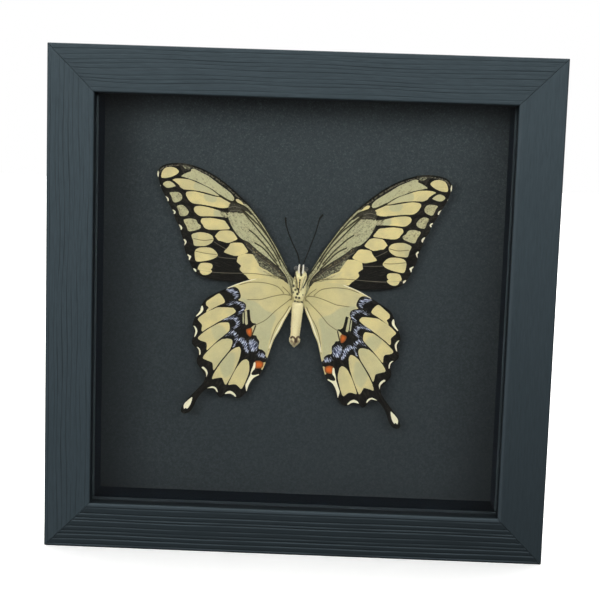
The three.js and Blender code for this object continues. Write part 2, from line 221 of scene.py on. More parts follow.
# %% A material built node by node
class Finish:
    """One material: its shader, and short ways to add the nodes that feed it."""

    def __init__(self, name, **sockets):
        self.material = bpy.data.materials.new(name)
        self.material.use_nodes = True
        self.tree = self.material.node_tree
        self.shader = self.tree.nodes["Principled BSDF"]
        self.set(**sockets)
        place = self.node("TexCoord", output="Object")
        self.place = self.node("VectorMath", {0: place, "Scale": 1 / MM}, operation="SCALE")

    def put(self, socket, value):
        """Links an output to a socket, or writes a plain number or colour into it."""
        if isinstance(value, bpy.types.NodeSocket):
            self.tree.links.new(value, socket)
        else:
            socket.default_value = value

    def node(self, kind, inputs=(), output=0, **settings):
        """Adds a node, chooses its settings, fills its inputs and hands back one output."""
        node = self.tree.nodes.new("ShaderNode" + kind)
        for key, value in settings.items():
            setattr(node, key, value)
        for key, value in dict(inputs).items():
            self.put(node.inputs[key], value)
        return node.outputs[output]

    def set(self, **sockets):
        """Fills the shader's sockets: base_color stands for Base Color, and so on."""
        for key, value in sockets.items():
            name = key.replace("_", " ").title().replace("Ior", "IOR")
            self.put(self.shader.inputs[name], value)

    def noise(self, size, detail=2.0, stretch=(1, 1, 1), warp=0.0):
        """Noise from 0 to 1 whose blobs are about size mm across, longer where stretch > 1."""
        scale = tuple(1 / (size * part) for part in stretch)
        place = self.node("VectorMath", {0: self.place, 1: scale}, operation="MULTIPLY")
        sockets = {"Vector": place, "Scale": 1.0, "Detail": detail, "Distortion": warp}
        return self.node("TexNoise", sockets, "Fac")

    def math(self, operation, a, b=0.0):
        return self.node("Math", {0: a, 1: b}, operation=operation)

    def step(self, value, low, high, to_low=0.0, to_high=1.0):
        """A smooth step of value between low and high."""
        sockets = {"Value": value, "From Min": low, "From Max": high,
                   "To Min": to_low, "To Max": to_high}
        return self.node("MapRange", sockets, interpolation_type="SMOOTHSTEP")

    def mix(self, factor, a, b):
        """Colour a where factor is 0 and colour b where it is 1, through the colour sockets."""
        return self.node("Mix", {0: factor, 6: a, 7: b}, 2, data_type="RGBA")

    def coordinate(self, axis):
        """The piece's own X, Y or Z in millimetres."""
        return self.node("SeparateXYZ", {0: self.place}, axis)

    def attribute(self, name):
        return self.node("Attribute", output="Fac", attribute_name=name)

    def bump(self, height, rise, strength=1.0):
        """Tilts the surface as if height, 0 to 1, stood rise millimetres high."""
        sockets = {"Height": height, "Distance": rise * MM, "Strength": strength}
        normal = self.node("Bump", sockets, "Normal")
        self.put(self.shader.inputs["Normal"], normal)
        return normal


def rgb(red, green, blue):
    """A colour for a socket: three linear parts from 0 to 1, fully opaque."""
    return (red, green, blue, 1.0)


def dress(nodes, finish):
    """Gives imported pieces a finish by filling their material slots."""
    for name in nodes:
        materials = frame["nodes"][name].data.materials
        materials.clear()
        materials.append(finish.material)


print("finish tools ready")

# %% Floor
FLOOR_REACH = 2.4
FLOOR_GLOW = 0.34
floor_finish = Finish("floor", roughness=0.9, emission_strength=FLOOR_GLOW)
floor_finish.set(emission_color=rgb(1.0, 1.0, 1.0))
floor_tint = floor_finish.noise(180, detail=3)
floor_finish.set(base_color=floor_finish.mix(floor_tint, rgb(0.92, 0.92, 0.91),
                                             rgb(0.96, 0.96, 0.95)))
floor_mesh = bpy.data.meshes.new("floor")
floor_mesh.from_pydata([(-FLOOR_REACH, -FLOOR_REACH, 0), (FLOOR_REACH, -FLOOR_REACH, 0),
                        (FLOOR_REACH, FLOOR_REACH, 0), (-FLOOR_REACH, FLOOR_REACH, 0)],
                       [], [(0, 1, 2, 3)])
floor_mesh.materials.append(floor_finish.material)
floor = bpy.data.objects.new("floor", floor_mesh)
floor.visible_glossy = False
floor.visible_transmission = False
floor.visible_diffuse = False
bpy.context.scene.collection.objects.link(floor)
print("floor", FLOOR_REACH * 2, "m wide")

# %% [markdown]
# ## Tools for shapes
#
# A piece here is a grid of points worked out with numpy: rows run along the piece and
# columns run across or round it. The same few helpers turn such a grid into a closed mesh:
# quads between neighbours, caps or walls where it is open, and doubled points merged at the
# ends where a whole row shrinks to one point.

# %% Grids and pieces
MERGE_DISTANCE = 1e-7


def grid_faces(rows, columns, round_it=False):
    """Quads between the points of a grid; round_it also joins the last column to the first."""
    row = np.arange(rows - 1)[:, None]
    column = np.arange(columns if round_it else columns - 1)[None, :]
    after = (column + 1) % columns
    corners = (row * columns + column, row * columns + after,
               (row + 1) * columns + after, (row + 1) * columns + column)
    return np.stack(np.broadcast_arrays(*corners), axis=-1).reshape(-1, 4)


def add_piece(name, points, faces, finish, nodes, values=None):
    """A mesh at the origin from points in metres, closed and facing out, in place of nodes."""
    mesh = bpy.data.meshes.new(name)
    mesh.from_pydata(points.reshape(-1, 3).tolist(), [], faces)
    for key, numbers in (values or {}).items():
        layer = mesh.attributes.new(key, "FLOAT", "POINT")
        layer.data.foreach_set("value", np.asarray(numbers, dtype=np.float32).ravel())
    form = bmesh.new()
    form.from_mesh(mesh)
    bmesh.ops.remove_doubles(form, verts=form.verts, dist=MERGE_DISTANCE)
    bmesh.ops.recalc_face_normals(form, faces=form.faces)
    form.to_mesh(mesh)
    form.free()
    mesh.polygons.foreach_set("use_smooth", np.ones(len(mesh.polygons), dtype=bool))
    mesh.materials.append(finish.material)
    piece = bpy.data.objects.new(name, mesh)
    bpy.context.scene.collection.objects.link(piece)
    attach(piece, "root")
    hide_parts(*nodes)
    corners = sum(len(face.vertices) - 2 for face in mesh.polygons)
    print(f"{name}: {corners} triangles")
    return piece


def joined(*parts):
    """Several (points, faces, values) parts as one set of points, faces and values."""
    start, points, faces, values = 0, [], [], {}
    for part_points, part_faces, part_values in parts:
        flat = part_points.reshape(-1, 3)
        points.append(flat)
        faces.extend((np.asarray(face) + start).tolist() for face in part_faces)
        for key, numbers in part_values.items():
            values.setdefault(key, []).append(np.broadcast_to(numbers, len(flat)))
        start += len(flat)
    return np.concatenate(points), faces, {k: np.concatenate(v) for k, v in values.items()}


print("a 3 x 4 grid has", len(grid_faces(3, 4)), "quads")

# %% Smooth curves
def through(points, steps=6, closed=False):
    """A curve through the points. Each stretch blends four neighbours by a cubic."""
    p = np.asarray(points, dtype=float)
    if closed:
        p = np.concatenate([p[-1:], p, p[:2]])
    else:
        p = np.concatenate([p[:1], p, p[-1:]])
    t = (np.arange(steps) / steps)[:, None]
    blend = 0.5 * np.hstack([-t + 2 * t**2 - t**3, 2 - 5 * t**2 + 3 * t**3,
                             t + 4 * t**2 - 3 * t**3, t**3 - t**2])
    windows = np.stack([p[:-3], p[1:-2], p[2:-1], p[3:]], axis=1)
    curve = np.einsum("tk,nkd->ntd", blend, windows).reshape(-1, p.shape[1])
    return curve if closed else np.concatenate([curve, p[-1:]])


def lengths_along(line):
    """The distance of each point of a line from its start, along the line."""
    steps = np.linalg.norm(np.diff(line, axis=0), axis=1)
    return np.concatenate([[0], np.cumsum(steps)])


def at_lengths(line, wanted):
    """The points of a line at the wanted distances along it."""
    along = lengths_along(line)
    return np.stack([np.interp(wanted, along, column) for column in line.T], axis=-1)


print("a curve through 4 points has", len(through(np.eye(4)[:, :2])), "points")

# %% [markdown]
# ## The rails
#
# Each rail is a length of wood with a black stain, its front brushed with a wire wheel that
# dug out the softer grain. The grain runs along the rail as a few shallow, slightly wavy
# grooves. The rail is a profile carried along its length: the profile's front face has extra
# points where the grooves run, each groove wanders a little, and both ends are drawn in at
# 45 degrees for the mitres.

# %% Rail measures
RAIL_FACE = 18.6
RAIL_WALL = 14.1
LIP_DEPTH = 6.2
INNER_ROUND = 0.7
OUTER_ROUND = 0.8
MITRE_PLAY = 0.10
RAIL_STATIONS = 140
GROOVE_COUNT = 9
GROOVE_WIDTH = 0.18
GROOVE_DEPTH = 0.12
GROOVE_WANDER = 0.45
RAIL_TURNS = {"bottom": 0, "left": 1, "top": 2, "right": 3}
# How deep the grooves are cut, how much painted shade darkens them, and how much painted highlight
# lights the ridge beside each groove and the lip's edge.
GROOVE_CUT = {"bottom": 1.3, "left": 0.7, "top": 0.8, "right": 0.3}
GROOVE_PAINTED_SHADE = {"bottom": 0.9, "left": 0.75, "top": 0.6, "right": 0.3}
RIDGE_PAINTED_HIGHLIGHT = {"bottom": 1.0, "left": 0.0, "top": 0.0, "right": 0.0}
EDGE_PAINTED_HIGHLIGHT = {"bottom": 1.0, "left": 0.0, "top": 0.0, "right": 0.6}
# Painted light and shade on each rail, at the lower or left end and at the upper or right end: the
# stain is painted paler where the rail is lit more.
RAIL_PAINTED_LIGHT = {"bottom": (0.26, 0.0), "left": (1.0, 1.0), "top": (0.8, 0.8), "right": (0.40, 1.0)}
# Where the painted highlight runs: a ridge beside each groove, and a band at the lip's edge.
RIDGE_OFFSET, RIDGE_SPREAD = 0.42, 0.22
LIP_HIGHLIGHT_BAND = 0.6
TOUCH = 0.02
SHARP_ANGLE = 30


def arc(centre, radius, start, end, count=6):
    """Points of a round corner, from one angle to another in quarter turns."""
    angle = np.linspace(start, end, count) * pi / 2
    across = centre[0] + radius * np.cos(angle)
    down = centre[1] + radius * np.sin(angle)
    return np.stack([across, down], axis=-1)


def rail_profile(grooves):
    """The rail's outline as inset and depth, with eleven points across every groove."""
    offsets = np.array([-4, -3.3, -2.6, -2, -1.5, -1, -0.5, 0, 0.5, 1, 1.5]) * GROOVE_WIDTH
    plain = np.linspace(OUTER_ROUND, RAIL_FACE - INNER_ROUND, 40)
    face = np.unique(np.concatenate([plain, (grooves[:, None] + offsets).ravel()]))
    face = face[(face > OUTER_ROUND + 0.1) & (face < RAIL_FACE - INNER_ROUND - 0.1)]
    outer = arc((OUTER_ROUND, OUTER_ROUND), OUTER_ROUND, 2, 3)
    inner = arc((RAIL_FACE - INNER_ROUND, INNER_ROUND), INNER_ROUND, 3, 4, 9)
    front = np.stack([face, np.zeros_like(face)], axis=-1)
    wall = [(RAIL_FACE, LIP_DEPTH), (RAIL_WALL, LIP_DEPTH), (RAIL_WALL, DEPTH)]
    back = [(0, DEPTH), (0, DEPTH * 0.66), (0, DEPTH * 0.33)]
    return np.concatenate([outer, front, inner, wall, back])


print("rail outline:", len(rail_profile(np.zeros(0))), "points before the grooves are cut")

# %% Carrying the rail's profile
def waves(along, random, count, shortest, longest):
    """A sum of a few sine waves of random length and phase, scaled to about -1 to 1."""
    lengths = random.uniform(shortest, longest, count)
    phases = random.uniform(0, 2 * pi, count)
    return np.sin(2 * pi * along[..., None] / lengths + phases).mean(axis=-1) * 1.6


def rail_points(side):
    """The carried profile: rows along the rail, columns round the outline."""
    random = np.random.default_rng(list(RAIL_TURNS).index(side) + 11)
    even = np.linspace(1.6, RAIL_FACE - 2.2, GROOVE_COUNT)
    grooves = even + random.uniform(-0.4, 0.4, GROOVE_COUNT)
    profile = rail_profile(grooves)
    inset, depth = profile.T
    along = np.linspace(-1, 1, RAIL_STATIONS)[:, None] * HALF
    on_face = (depth == 0)
    middle = np.clip(np.minimum(inset - OUTER_ROUND, RAIL_FACE - INNER_ROUND - inset) / 2, 0, 1)
    wander = GROOVE_WANDER * waves(along + inset * 3, random, 4, 60, 150) * middle * on_face
    cut = np.zeros((RAIL_STATIONS, len(profile)))
    # painted highlight where the lamps above catch the lip's rounded edge and the ridge beside each
    # groove
    at_lip = (inset > RAIL_FACE - INNER_ROUND - LIP_HIGHLIGHT_BAND) & (depth < INNER_ROUND)
    painted_highlight = EDGE_PAINTED_HIGHLIGHT[side] * at_lip * np.ones_like(cut)
    for groove in grooves:
        fade = 0.82 + 0.30 * waves(along, random, 5, 25, 110)
        shape = np.exp(-((inset - groove) / GROOVE_WIDTH) ** 2)
        strength = random.uniform(0.6, 1.1) * np.clip(fade, 0, 1) * on_face
        cut = cut + GROOVE_DEPTH * strength * shape
        ridge = np.exp(-((inset - groove + RIDGE_OFFSET) / RIDGE_SPREAD) ** 2)
        painted_highlight = painted_highlight + RIDGE_PAINTED_HIGHLIGHT[side] * strength * ridge
    inset = inset + wander
    reach = np.clip(HALF - inset - MITRE_PLAY, 0, None)
    x = along / HALF * reach
    z = inset - HALF
    # painted shade: the lip's inner wall is painted as dark as the deepest groove
    inner_wall = (inset > RAIL_FACE - TOUCH) & (depth > INNER_ROUND - TOUCH)
    groove = np.maximum(cut / GROOVE_DEPTH * GROOVE_PAINTED_SHADE[side], inner_wall)
    return x, depth + cut * GROOVE_CUT[side], z * np.ones_like(x), groove, painted_highlight


def add_rail(side, finish):
    """One rail, turned in quarter turns about the frame's middle, with its mitres closed."""
    x, depth, z, groove, painted_highlight = rail_points(side)
    for _ in range(RAIL_TURNS[side]):
        x, z = z, -x
    rows, columns = x.shape
    faces = grid_faces(rows, columns, round_it=True).tolist()
    faces.append(list(range(columns)))
    faces.append(list(range((rows - 1) * columns, rows * columns)))
    # painted light and shade: each rail's stain is painted paler or darker from one end to the other
    low, high = RAIL_PAINTED_LIGHT[side]
    lengthwise = x if side in ("bottom", "top") else z
    painted_light = low + (high - low) * (lengthwise / HALF + 1) / 2
    piece = add_piece(f"rail_{side}_wood", laid(x, depth, z), faces, finish,
                      [f"rail_{side}"], {"groove": groove, "painted_highlight": painted_highlight, "painted_light": painted_light})
    # the mitres and the lip's edges stay crisp, the grooves are shaded smooth
    piece.data.set_sharp_from_angle(angle=radians(SHARP_ANGLE))


print("rails:", RAIL_STATIONS, "stations along and", GROOVE_COUNT, "grooves each")

# %% Stained wood
def stained_wood(name, stretch):
    """Black-blue stain: fine streaks and pores stretched along the rail, with painted light and shade
    along each rail, painted shade in the grooves and on the lip's inner wall, and painted highlights
    beside the grooves and at the lip.
    """
    wood = Finish(name, roughness=0.5)
    wood.set(specular_tint=rgb(0.72, 0.92, 1.0))
    streak = wood.noise(0.45, detail=5, stretch=stretch, warp=0.4)
    broad = wood.noise(9, detail=3, stretch=tuple(max(1, part / 4) for part in stretch))
    pores = wood.noise(0.22, detail=3, stretch=tuple(max(1, part / 2) for part in stretch))
    specks = wood.step(wood.noise(0.5, detail=4), 0.66, 0.74)
    # a lit and a shaded copy of the stain, mixed by the painted light along each rail
    pale = wood.mix(streak, rgb(0.024, 0.034, 0.040), rgb(0.050, 0.069, 0.081))
    deep = wood.mix(streak, rgb(0.007, 0.009, 0.011), rgb(0.018, 0.025, 0.029))
    tone = wood.mix(wood.attribute("painted_light"), deep, pale)
    tone = wood.mix(wood.step(broad, 0.3, 0.75, 0.0, 0.15), tone, rgb(0.022, 0.034, 0.041))
    tone = wood.mix(wood.math("MULTIPLY", specks, 0.22), tone, rgb(0.070, 0.092, 0.102))
    # painted highlight on the ridges beside the grooves and on the lip's edge
    painted_highlight = wood.step(wood.attribute("painted_highlight"), 0.10, 0.9, 0, 0.85)
    tone = wood.mix(painted_highlight, tone, rgb(0.048, 0.064, 0.074))
    # painted shade in the grooves and on the lip's inner wall
    groove = wood.attribute("groove")
    tone = wood.mix(wood.step(groove, 0.15, 0.7, 0, 0.80), tone, rgb(0.008, 0.011, 0.013))
    wood.set(base_color=tone)
    wood.set(specular_ior_level=wood.step(groove, 0.75, 0.95, 0.35, 0.04))
    wood.set(roughness=wood.step(streak, 0.2, 0.8, 0.62, 0.44))
    height = wood.math("ADD", wood.math("MULTIPLY", streak, 0.7), wood.math("MULTIPLY", pores, 0.3))
    wood.bump(height, 0.07, 0.5)
    return wood


wood_level = stained_wood("stained_wood_level", (14, 1, 1))
wood_upright = stained_wood("stained_wood_upright", (1, 1, 14))
for side in RAIL_TURNS:
    add_rail(side, wood_level if side in ("top", "bottom") else wood_upright)

# %% [markdown]
# ## Board, glass and back
#
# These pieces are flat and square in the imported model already, so they stay and only get a
# finish. The board is faced with a matte paper whose fibres show as faint flecks. The glass
# is clear and thin: light passes straight through it for shadows, so that the butterfly is
# lit as it would be. The back is hardboard, held by plated tabs, with a small brass hanger.

# %% Mount paper
paper = Finish("mount_paper", roughness=0.93, specular_ior_level=0.25)
fibres = paper.noise(0.34, detail=4, warp=0.3)
tufts = paper.noise(0.95, detail=3)
flecks = paper.step(paper.noise(0.62, detail=4, warp=0.9), 0.49, 0.75)
paper_tone = paper.mix(fibres, rgb(0.011, 0.015, 0.018), rgb(0.050, 0.062, 0.067))
paper_tone = paper.mix(paper.step(tufts, 0.38, 0.62, 0.0, 0.72), paper_tone,
                       rgb(0.019, 0.025, 0.028))
cloud = paper.noise(45, detail=2)
paper_tone = paper.mix(paper.step(cloud, 0.35, 0.7, 0, 0.35), paper_tone, rgb(0.027, 0.035, 0.038))
up = paper.coordinate("Z")
sideways = paper.coordinate("X")
# painted light and shade: the paper is painted darker towards the bottom and paler towards the top,
# and its flecks are painted brighter towards the top, where the lamps above light it more
paper_tone = paper.mix(paper.step(up, 15, 140, 0.17, 0), paper_tone, rgb(0.010, 0.014, 0.017))
paper_tone = paper.mix(paper.step(up, 110, 188, 0, 0.16), paper_tone, rgb(0.070, 0.088, 0.093))
lit_flecks = paper.math("MULTIPLY", flecks, paper.step(up, 90, HEIGHT - 20, 0.16, 0.62))
paper_tone = paper.mix(lit_flecks, paper_tone, rgb(0.082, 0.102, 0.106))
# painted shade: the paper is painted darker towards the rails at the left, at the bottom and in the
# lower right corner, where the rails shade it
left_shade = paper.step(sideways, -85, -58, 0.62, 0)
low_shade = paper.step(up, 12, 34, 0.35, 0)
corner_shade = paper.math("MULTIPLY", paper.step(sideways, 56, 84, 0, 0.45),
                        paper.step(up, 30, 110, 1, 0))
for shaded in (left_shade, low_shade, corner_shade):
    paper_tone = paper.mix(shaded, paper_tone, rgb(0.008, 0.011, 0.013))
paper.set(base_color=paper_tone)
paper.bump(fibres, 0.02, 0.4)
dress(["mount_board"], paper)
print("mount paper nodes:", len(paper.tree.nodes))

# %% Black foam
# A painted highlight runs as a thin paler line along the strips' front edge beside the rails' lip; it
# is painted dimmer on the bottom strip.
EDGE_HIGHLIGHT_WIDTH = 0.62
EDGE_HIGHLIGHT_SOFT = 0.12
foam = Finish("black_foam", roughness=0.95, specular_ior_level=0.06)
cells = foam.noise(0.45, detail=3)
foam_tone = foam.mix(cells, rgb(0.003, 0.006, 0.010), rgb(0.010, 0.016, 0.023))
foam_front = node_depths("spacer_left")[0] - DEPTH / 2
at_front = foam.step(foam.coordinate("Y"), foam_front + 0.2, foam_front + 0.4, 1.0, 0.0)
from_foot = foam.coordinate("Z")
out_x = foam.math("ABSOLUTE", foam.coordinate("X"))
out_z = foam.math("ABSOLUTE", foam.math("SUBTRACT", from_foot, HEIGHT / 2))
line_starts = HALF - RAIL_FACE - EDGE_HIGHLIGHT_WIDTH
line = foam.step(foam.math("MAXIMUM", out_x, out_z), line_starts, line_starts + EDGE_HIGHLIGHT_SOFT)
edge_highlight = foam.math("MULTIPLY", at_front, line)
# the painted highlight is dimmer on the bottom strip than on the sides
highlight_tone = foam.mix(foam.step(from_foot, 18, 22), rgb(0.026, 0.033, 0.038),
                     rgb(0.050, 0.062, 0.070))
foam.set(base_color=foam.mix(edge_highlight, foam_tone, highlight_tone))
foam.bump(cells, 0.12, 0.7)
foam_pieces = [f"spacer_{side}" for side in RAIL_TURNS] + ["mounting_pad"]
dress(foam_pieces, foam)
print("foam pieces:", len(foam_pieces))

# %% Hardboard
hardboard = Finish("hardboard", roughness=0.78)
fibre = hardboard.noise(0.8, detail=6, warp=2.0)
board_tone = hardboard.mix(fibre, rgb(0.12, 0.062, 0.030), rgb(0.30, 0.175, 0.095))
stain = hardboard.step(hardboard.noise(30, detail=3), 0.35, 0.7, 0, 0.4)
board_tone = hardboard.mix(stain, board_tone, rgb(0.16, 0.088, 0.045))
hardboard.set(base_color=board_tone)
hardboard.bump(fibre, 0.08, 0.6)
dress(["backing_board"], hardboard)
print("hardboard nodes:", len(hardboard.tree.nodes))

# %% Plated metal
def plated(name, dark, bright, roughness):
    """Bright plating, clouded by fine scratches along x and a little tarnish."""
    metal = Finish(name, metallic=1.0, roughness=roughness)
    scratches = metal.noise(0.12, detail=4, stretch=(18, 1, 1))
    tarnish = metal.noise(3, detail=4)
    tone = metal.mix(metal.step(tarnish, 0.35, 0.75), bright, dark)
    metal.set(base_color=tone)
    metal.set(roughness=metal.step(scratches, 0.2, 0.8, roughness - 0.12, roughness + 0.14))
    metal.bump(scratches, 0.01, 0.4)
    return metal


steel = plated("steel", rgb(0.36, 0.37, 0.38), rgb(0.60, 0.61, 0.62), 0.38)
brass = plated("brass", rgb(0.34, 0.23, 0.09), rgb(0.66, 0.48, 0.20), 0.34)
tabs = [name for name in frame["nodes"] if name.startswith("tab_")]
dress(tabs + ["hanger_rivet_left", "hanger_rivet_right"], steel)
dress(["hanger"], brass)
print("tabs:", len(tabs))

# %% Window glass
glass = Finish("window_glass", roughness=0.0, transmission_weight=1.0, ior=1.45)
glass.set(base_color=rgb(0.985, 0.995, 0.99))
clear = glass.node("BsdfTransparent", {"Color": rgb(0.96, 0.97, 0.965)})
shadow_ray = glass.node("LightPath", output="Is Shadow Ray")
lit_through = glass.node("MixShader", {0: shadow_ray, 1: glass.shader.outputs[0], 2: clear})
glass.put(glass.tree.nodes["Material Output"].inputs["Surface"], lit_through)
dress(["glass_pane"], glass)
glass_low, glass_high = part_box("glass_pane")
print("glass pane", [round(value, 4) for value in glass_high - glass_low])

# %% [markdown]
# ## The wings
#
# A wing is a thin sheet stretched between stiff veins and shingled with coloured scales. Its
# outline is drawn as smooth runs that meet in corners. To cover it with a grid, the outline
# is cut at the root and at the tip into a leading and a trailing chain, and straight rows
# join the two chains: no row crosses another when matching places on the chains are chosen
# well. The tail of the hindwing is simply the grid's narrow end.

# %% Wing outlines
FOREWING_RUNS = [
    # leading edge, root to tip
    [(-2.0, 9.0), (-4.1, 10.2), (-6.3, 14), (-9.3, 20.2), (-12.9, 26), (-16.7, 32), (-21.4, 38),
     (-27.6, 44), (-34, 49.1), (-41, 53), (-48, 55.1), (-54, 55.2), (-58, 54.1), (-60, 51.8)],
    # outer margin, waved between the ends of the veins
    [(-60.1, 50.5), (-59.3, 48.2), (-58.8, 46.2), (-57.9, 43.9), (-56.2, 41), (-54.9, 38.2),
     (-53.4, 35.6), (-52.4, 32.4), (-50.8, 29.6), (-49.9, 26.4), (-48.8, 23.2), (-48.3, 19.8),
     (-47, 17), (-45.9, 14.2), (-44.5, 11.8), (-42.3, 9.6)],
    # inner margin, back to the root
    [(-38.5, 8.3), (-33, 7.6), (-27, 7.2), (-20, 7), (-12, 6.6), (-7.2, 5.0), (-4.6, 2.8),
     (-2.6, 2.6), (-2.0, 9.0)],
]
HINDWING_RUNS = [
    # leading edge and outer margin, root to the first vein end
    [(-2.0, 2.6), (-3.6, 2.8), (-4.5, 4.2), (-4.8, 6.0), (-5.5, 7.2), (-6.8, 8.1), (-9, 8.8),
     (-14, 9.3), (-19, 8.9), (-24, 7.5), (-28, 5.9), (-32, 3.9), (-36, 1.9), (-39, 0),
     (-40.8, -2.6), (-41.7, -4.6), (-43, -7), (-44, -9.2), (-44.5, -11)],
    # scallops down to the tail
    [(-43.9, -12.6), (-43.7, -14.2), (-44.1, -16.2), (-44.6, -17.9), (-44.3, -19.3)],
    [(-43.2, -20.2), (-42.2, -21.2), (-41.8, -22.6), (-41.8, -23.9), (-42.3, -25.6),
     (-42.1, -27.3)],
    [(-40.6, -28.7), (-39.5, -29.9), (-38.9, -31.3), (-38.6, -33)],
    # tail: outer edge, rounded tip, inner edge
    [(-39.2, -34.8), (-40.7, -36.7), (-42.3, -38.5), (-44.1, -40.4), (-45.8, -42.3),
     (-47.2, -44.2), (-48.3, -46.2), (-48.3, -47.8), (-47.2, -48.5), (-45.6, -48.2),
     (-44.2, -47), (-43, -45), (-42.2, -43), (-41.2, -41.3), (-40, -39.7), (-38.6, -38.2)],
    # scallops from the tail to the inner corner
    [(-37.2, -37.7), (-35.6, -37.8), (-34.4, -38.6), (-33.6, -39.7), (-32.9, -40.8),
     (-32, -41.3)],
    [(-30.4, -40.1), (-28.8, -39.6), (-27.1, -39.8), (-26, -40.8), (-25, -41.2),
     (-23.4, -40.7), (-22, -39.2), (-21.3, -38.7)],
    [(-20.8, -37.2), (-20, -35.2), (-19, -33.5), (-17.6, -32.2), (-16.3, -31.6),
     (-15.9, -30.9)],
    # inner margin, back to the root
    [(-14.9, -28.8), (-13.8, -26), (-13.1, -23.8), (-12.5, -22), (-11.9, -20), (-10.5, -16),
     (-8.3, -12), (-6.5, -8), (-4.4, -4), (-2.6, 0.5), (-2.0, 2.6)],
]
FOREWING_TIP = (-60.1, 50.9)
HINDWING_TIP = (-48.0, -48.2)
# Places on the leading chain and the place on the trailing chain that each is joined to.
FOREWING_MATCHES = [((-27.6, 44), (-42.3, 9.6))]
HINDWING_MATCHES = [((-24, 7.5), (-8.3, -12)), ((-40.8, -2.6), (-13.1, -23.8)),
                    ((-44.6, -17.9), (-21.3, -38.7)), ((-42.1, -27.3), (-32, -41.3)),
                    ((-38.6, -33), (-38.6, -38.2))]


# %% Grids from the outlines
def outline(runs):
    """The runs as one closed line: each run's curve starts at the end of the run before."""
    pieces, last = [], []
    for run in runs:
        pieces.append(through(last + run))
        last = [run[-1]]
    return np.concatenate([piece[(i > 0):] for i, piece in enumerate(pieces)])


def nearest(line, point):
    """Which point of the line is closest to the given one."""
    return int(np.argmin(np.linalg.norm(line - np.asarray(point), axis=1)))


def chains(runs, tip, matches, rows):
    """Rows of matched points on the leading and trailing chains, root to tip."""
    line = outline(runs)
    turn = nearest(line, tip)
    leading, trailing = line[:turn + 1], line[turn:][::-1]
    stops = [[0.0], [0.0]]
    for pair in matches:
        for chain, place, stop in zip((leading, trailing), pair, stops):
            stop.append(lengths_along(chain)[nearest(chain, place)])
    for chain, stop in zip((leading, trailing), stops):
        stop.append(lengths_along(chain)[-1])
    stops = np.array(stops)
    even = np.linspace(0, stops.mean(axis=0)[-1], rows)
    places = [np.interp(even, stops.mean(axis=0), stop) for stop in stops]
    return at_lengths(leading, places[0]), at_lengths(trailing, places[1])


WING_ROWS, WING_COLUMNS = 270, 125


def wing_grid(runs, tip, matches):
    """Every row is a straight line from the leading chain to the trailing chain."""
    leading, trailing = chains(runs, tip, matches, WING_ROWS)
    part = np.linspace(0, 1, WING_COLUMNS)[None, :, None]
    return leading[:, None, :] * (1 - part) + trailing[:, None, :] * part


forewing_grid = wing_grid(FOREWING_RUNS, FOREWING_TIP, FOREWING_MATCHES)
hindwing_grid = wing_grid(HINDWING_RUNS, HINDWING_TIP, HINDWING_MATCHES)
print("forewing spans", np.ptp(forewing_grid.reshape(-1, 2), axis=0).round(1), "mm")
print("hindwing spans", np.ptp(hindwing_grid.reshape(-1, 2), axis=0).round(1), "mm")

# %% [markdown]
# ## The wing pattern
#
# Scales make the pattern: cream patches on brown-black, with blue dust, two orange spots and
# white half moons at the edge. Each patch is a closed curve through a few chosen points. For
# every point of the grid the script works out how deep it lies inside the nearest patch, in
# millimetres, and stores that as an attribute. The finish then decides where the edge runs,
# and can fray it with noise, as the real scales do. Neighbouring patches go into different
# groups, so that the thin dark line between them stays sharp.

# %% Forewing pattern: marginal spots
# Each patch: group, greyness, dusting of dark scales, and its outline.
FOREWING_PATCHES = [
    (1, 0.05, 0.0, [(-58.5, 49.8), (-58.1, 51.7), (-56.9, 53.2), (-55, 53.7), (-53, 53.4),
                    (-51.6, 52.5), (-51.4, 51.5), (-53.2, 50.1), (-55.8, 49.2), (-58, 49.1)]),
    (2, 0.55, 0.34, [(-57.7, 46.6), (-57, 47.5), (-55.8, 47.9), (-54.4, 47.7), (-52.5, 46.1),
                     (-53.6, 45.5), (-55.5, 45.1), (-56.8, 45.5)]),
    (1, 0.70, 0.42, [(-54.9, 43.2), (-52.2, 43.6), (-50.6, 43.1), (-49.7, 41.6), (-50.2, 40.2),
                     (-52, 39.3), (-53.2, 39.4), (-53.9, 40.6), (-54.3, 41.9)]),
    (2, 0.70, 0.42, [(-51.9, 37.6), (-50.9, 38.2), (-49.6, 38.3), (-47.9, 37.1), (-46.9, 35.5),
                     (-47.8, 34.1), (-49.6, 33.7), (-50.6, 34.1), (-51.2, 36)]),
    (1, 0.65, 0.40, [(-49, 32), (-47.8, 32.7), (-45.6, 32.9), (-43.9, 32.4), (-43.1, 31),
                     (-41.9, 30.1), (-42.2, 28.9), (-44.2, 28), (-46.9, 27.6), (-47.7, 29.4)]),
    (2, 0.25, 0.05, [(-45.7, 26), (-44.4, 26.9), (-42, 27.4), (-39, 27), (-37.2, 26.1),
                     (-36.6, 24.5), (-37.5, 23), (-39.8, 21.8), (-42.5, 21.6), (-44.5, 21.8),
                     (-45, 23.8)]),
    (1, 0.15, 0.03, [(-44.2, 19.3), (-43, 20.7), (-40.5, 21.2), (-37.6, 21), (-35.7, 19.8),
                     (-34.7, 18), (-36.3, 16.6), (-39.5, 15.6), (-43, 15.2), (-44, 16.3)]),
    (2, 0.10, 0.03, [(-42.8, 12.3), (-42.4, 13.7), (-41.3, 14.7), (-38.5, 14.8), (-36.9, 14.2),
                     (-36.8, 12.8), (-37.4, 12.1), (-36.8, 11.3), (-38.2, 10.1), (-40.3, 9.7),
                     (-41.7, 10.6), (-42, 11.6)]),
]
print("forewing marginal spots:", len(FOREWING_PATCHES))

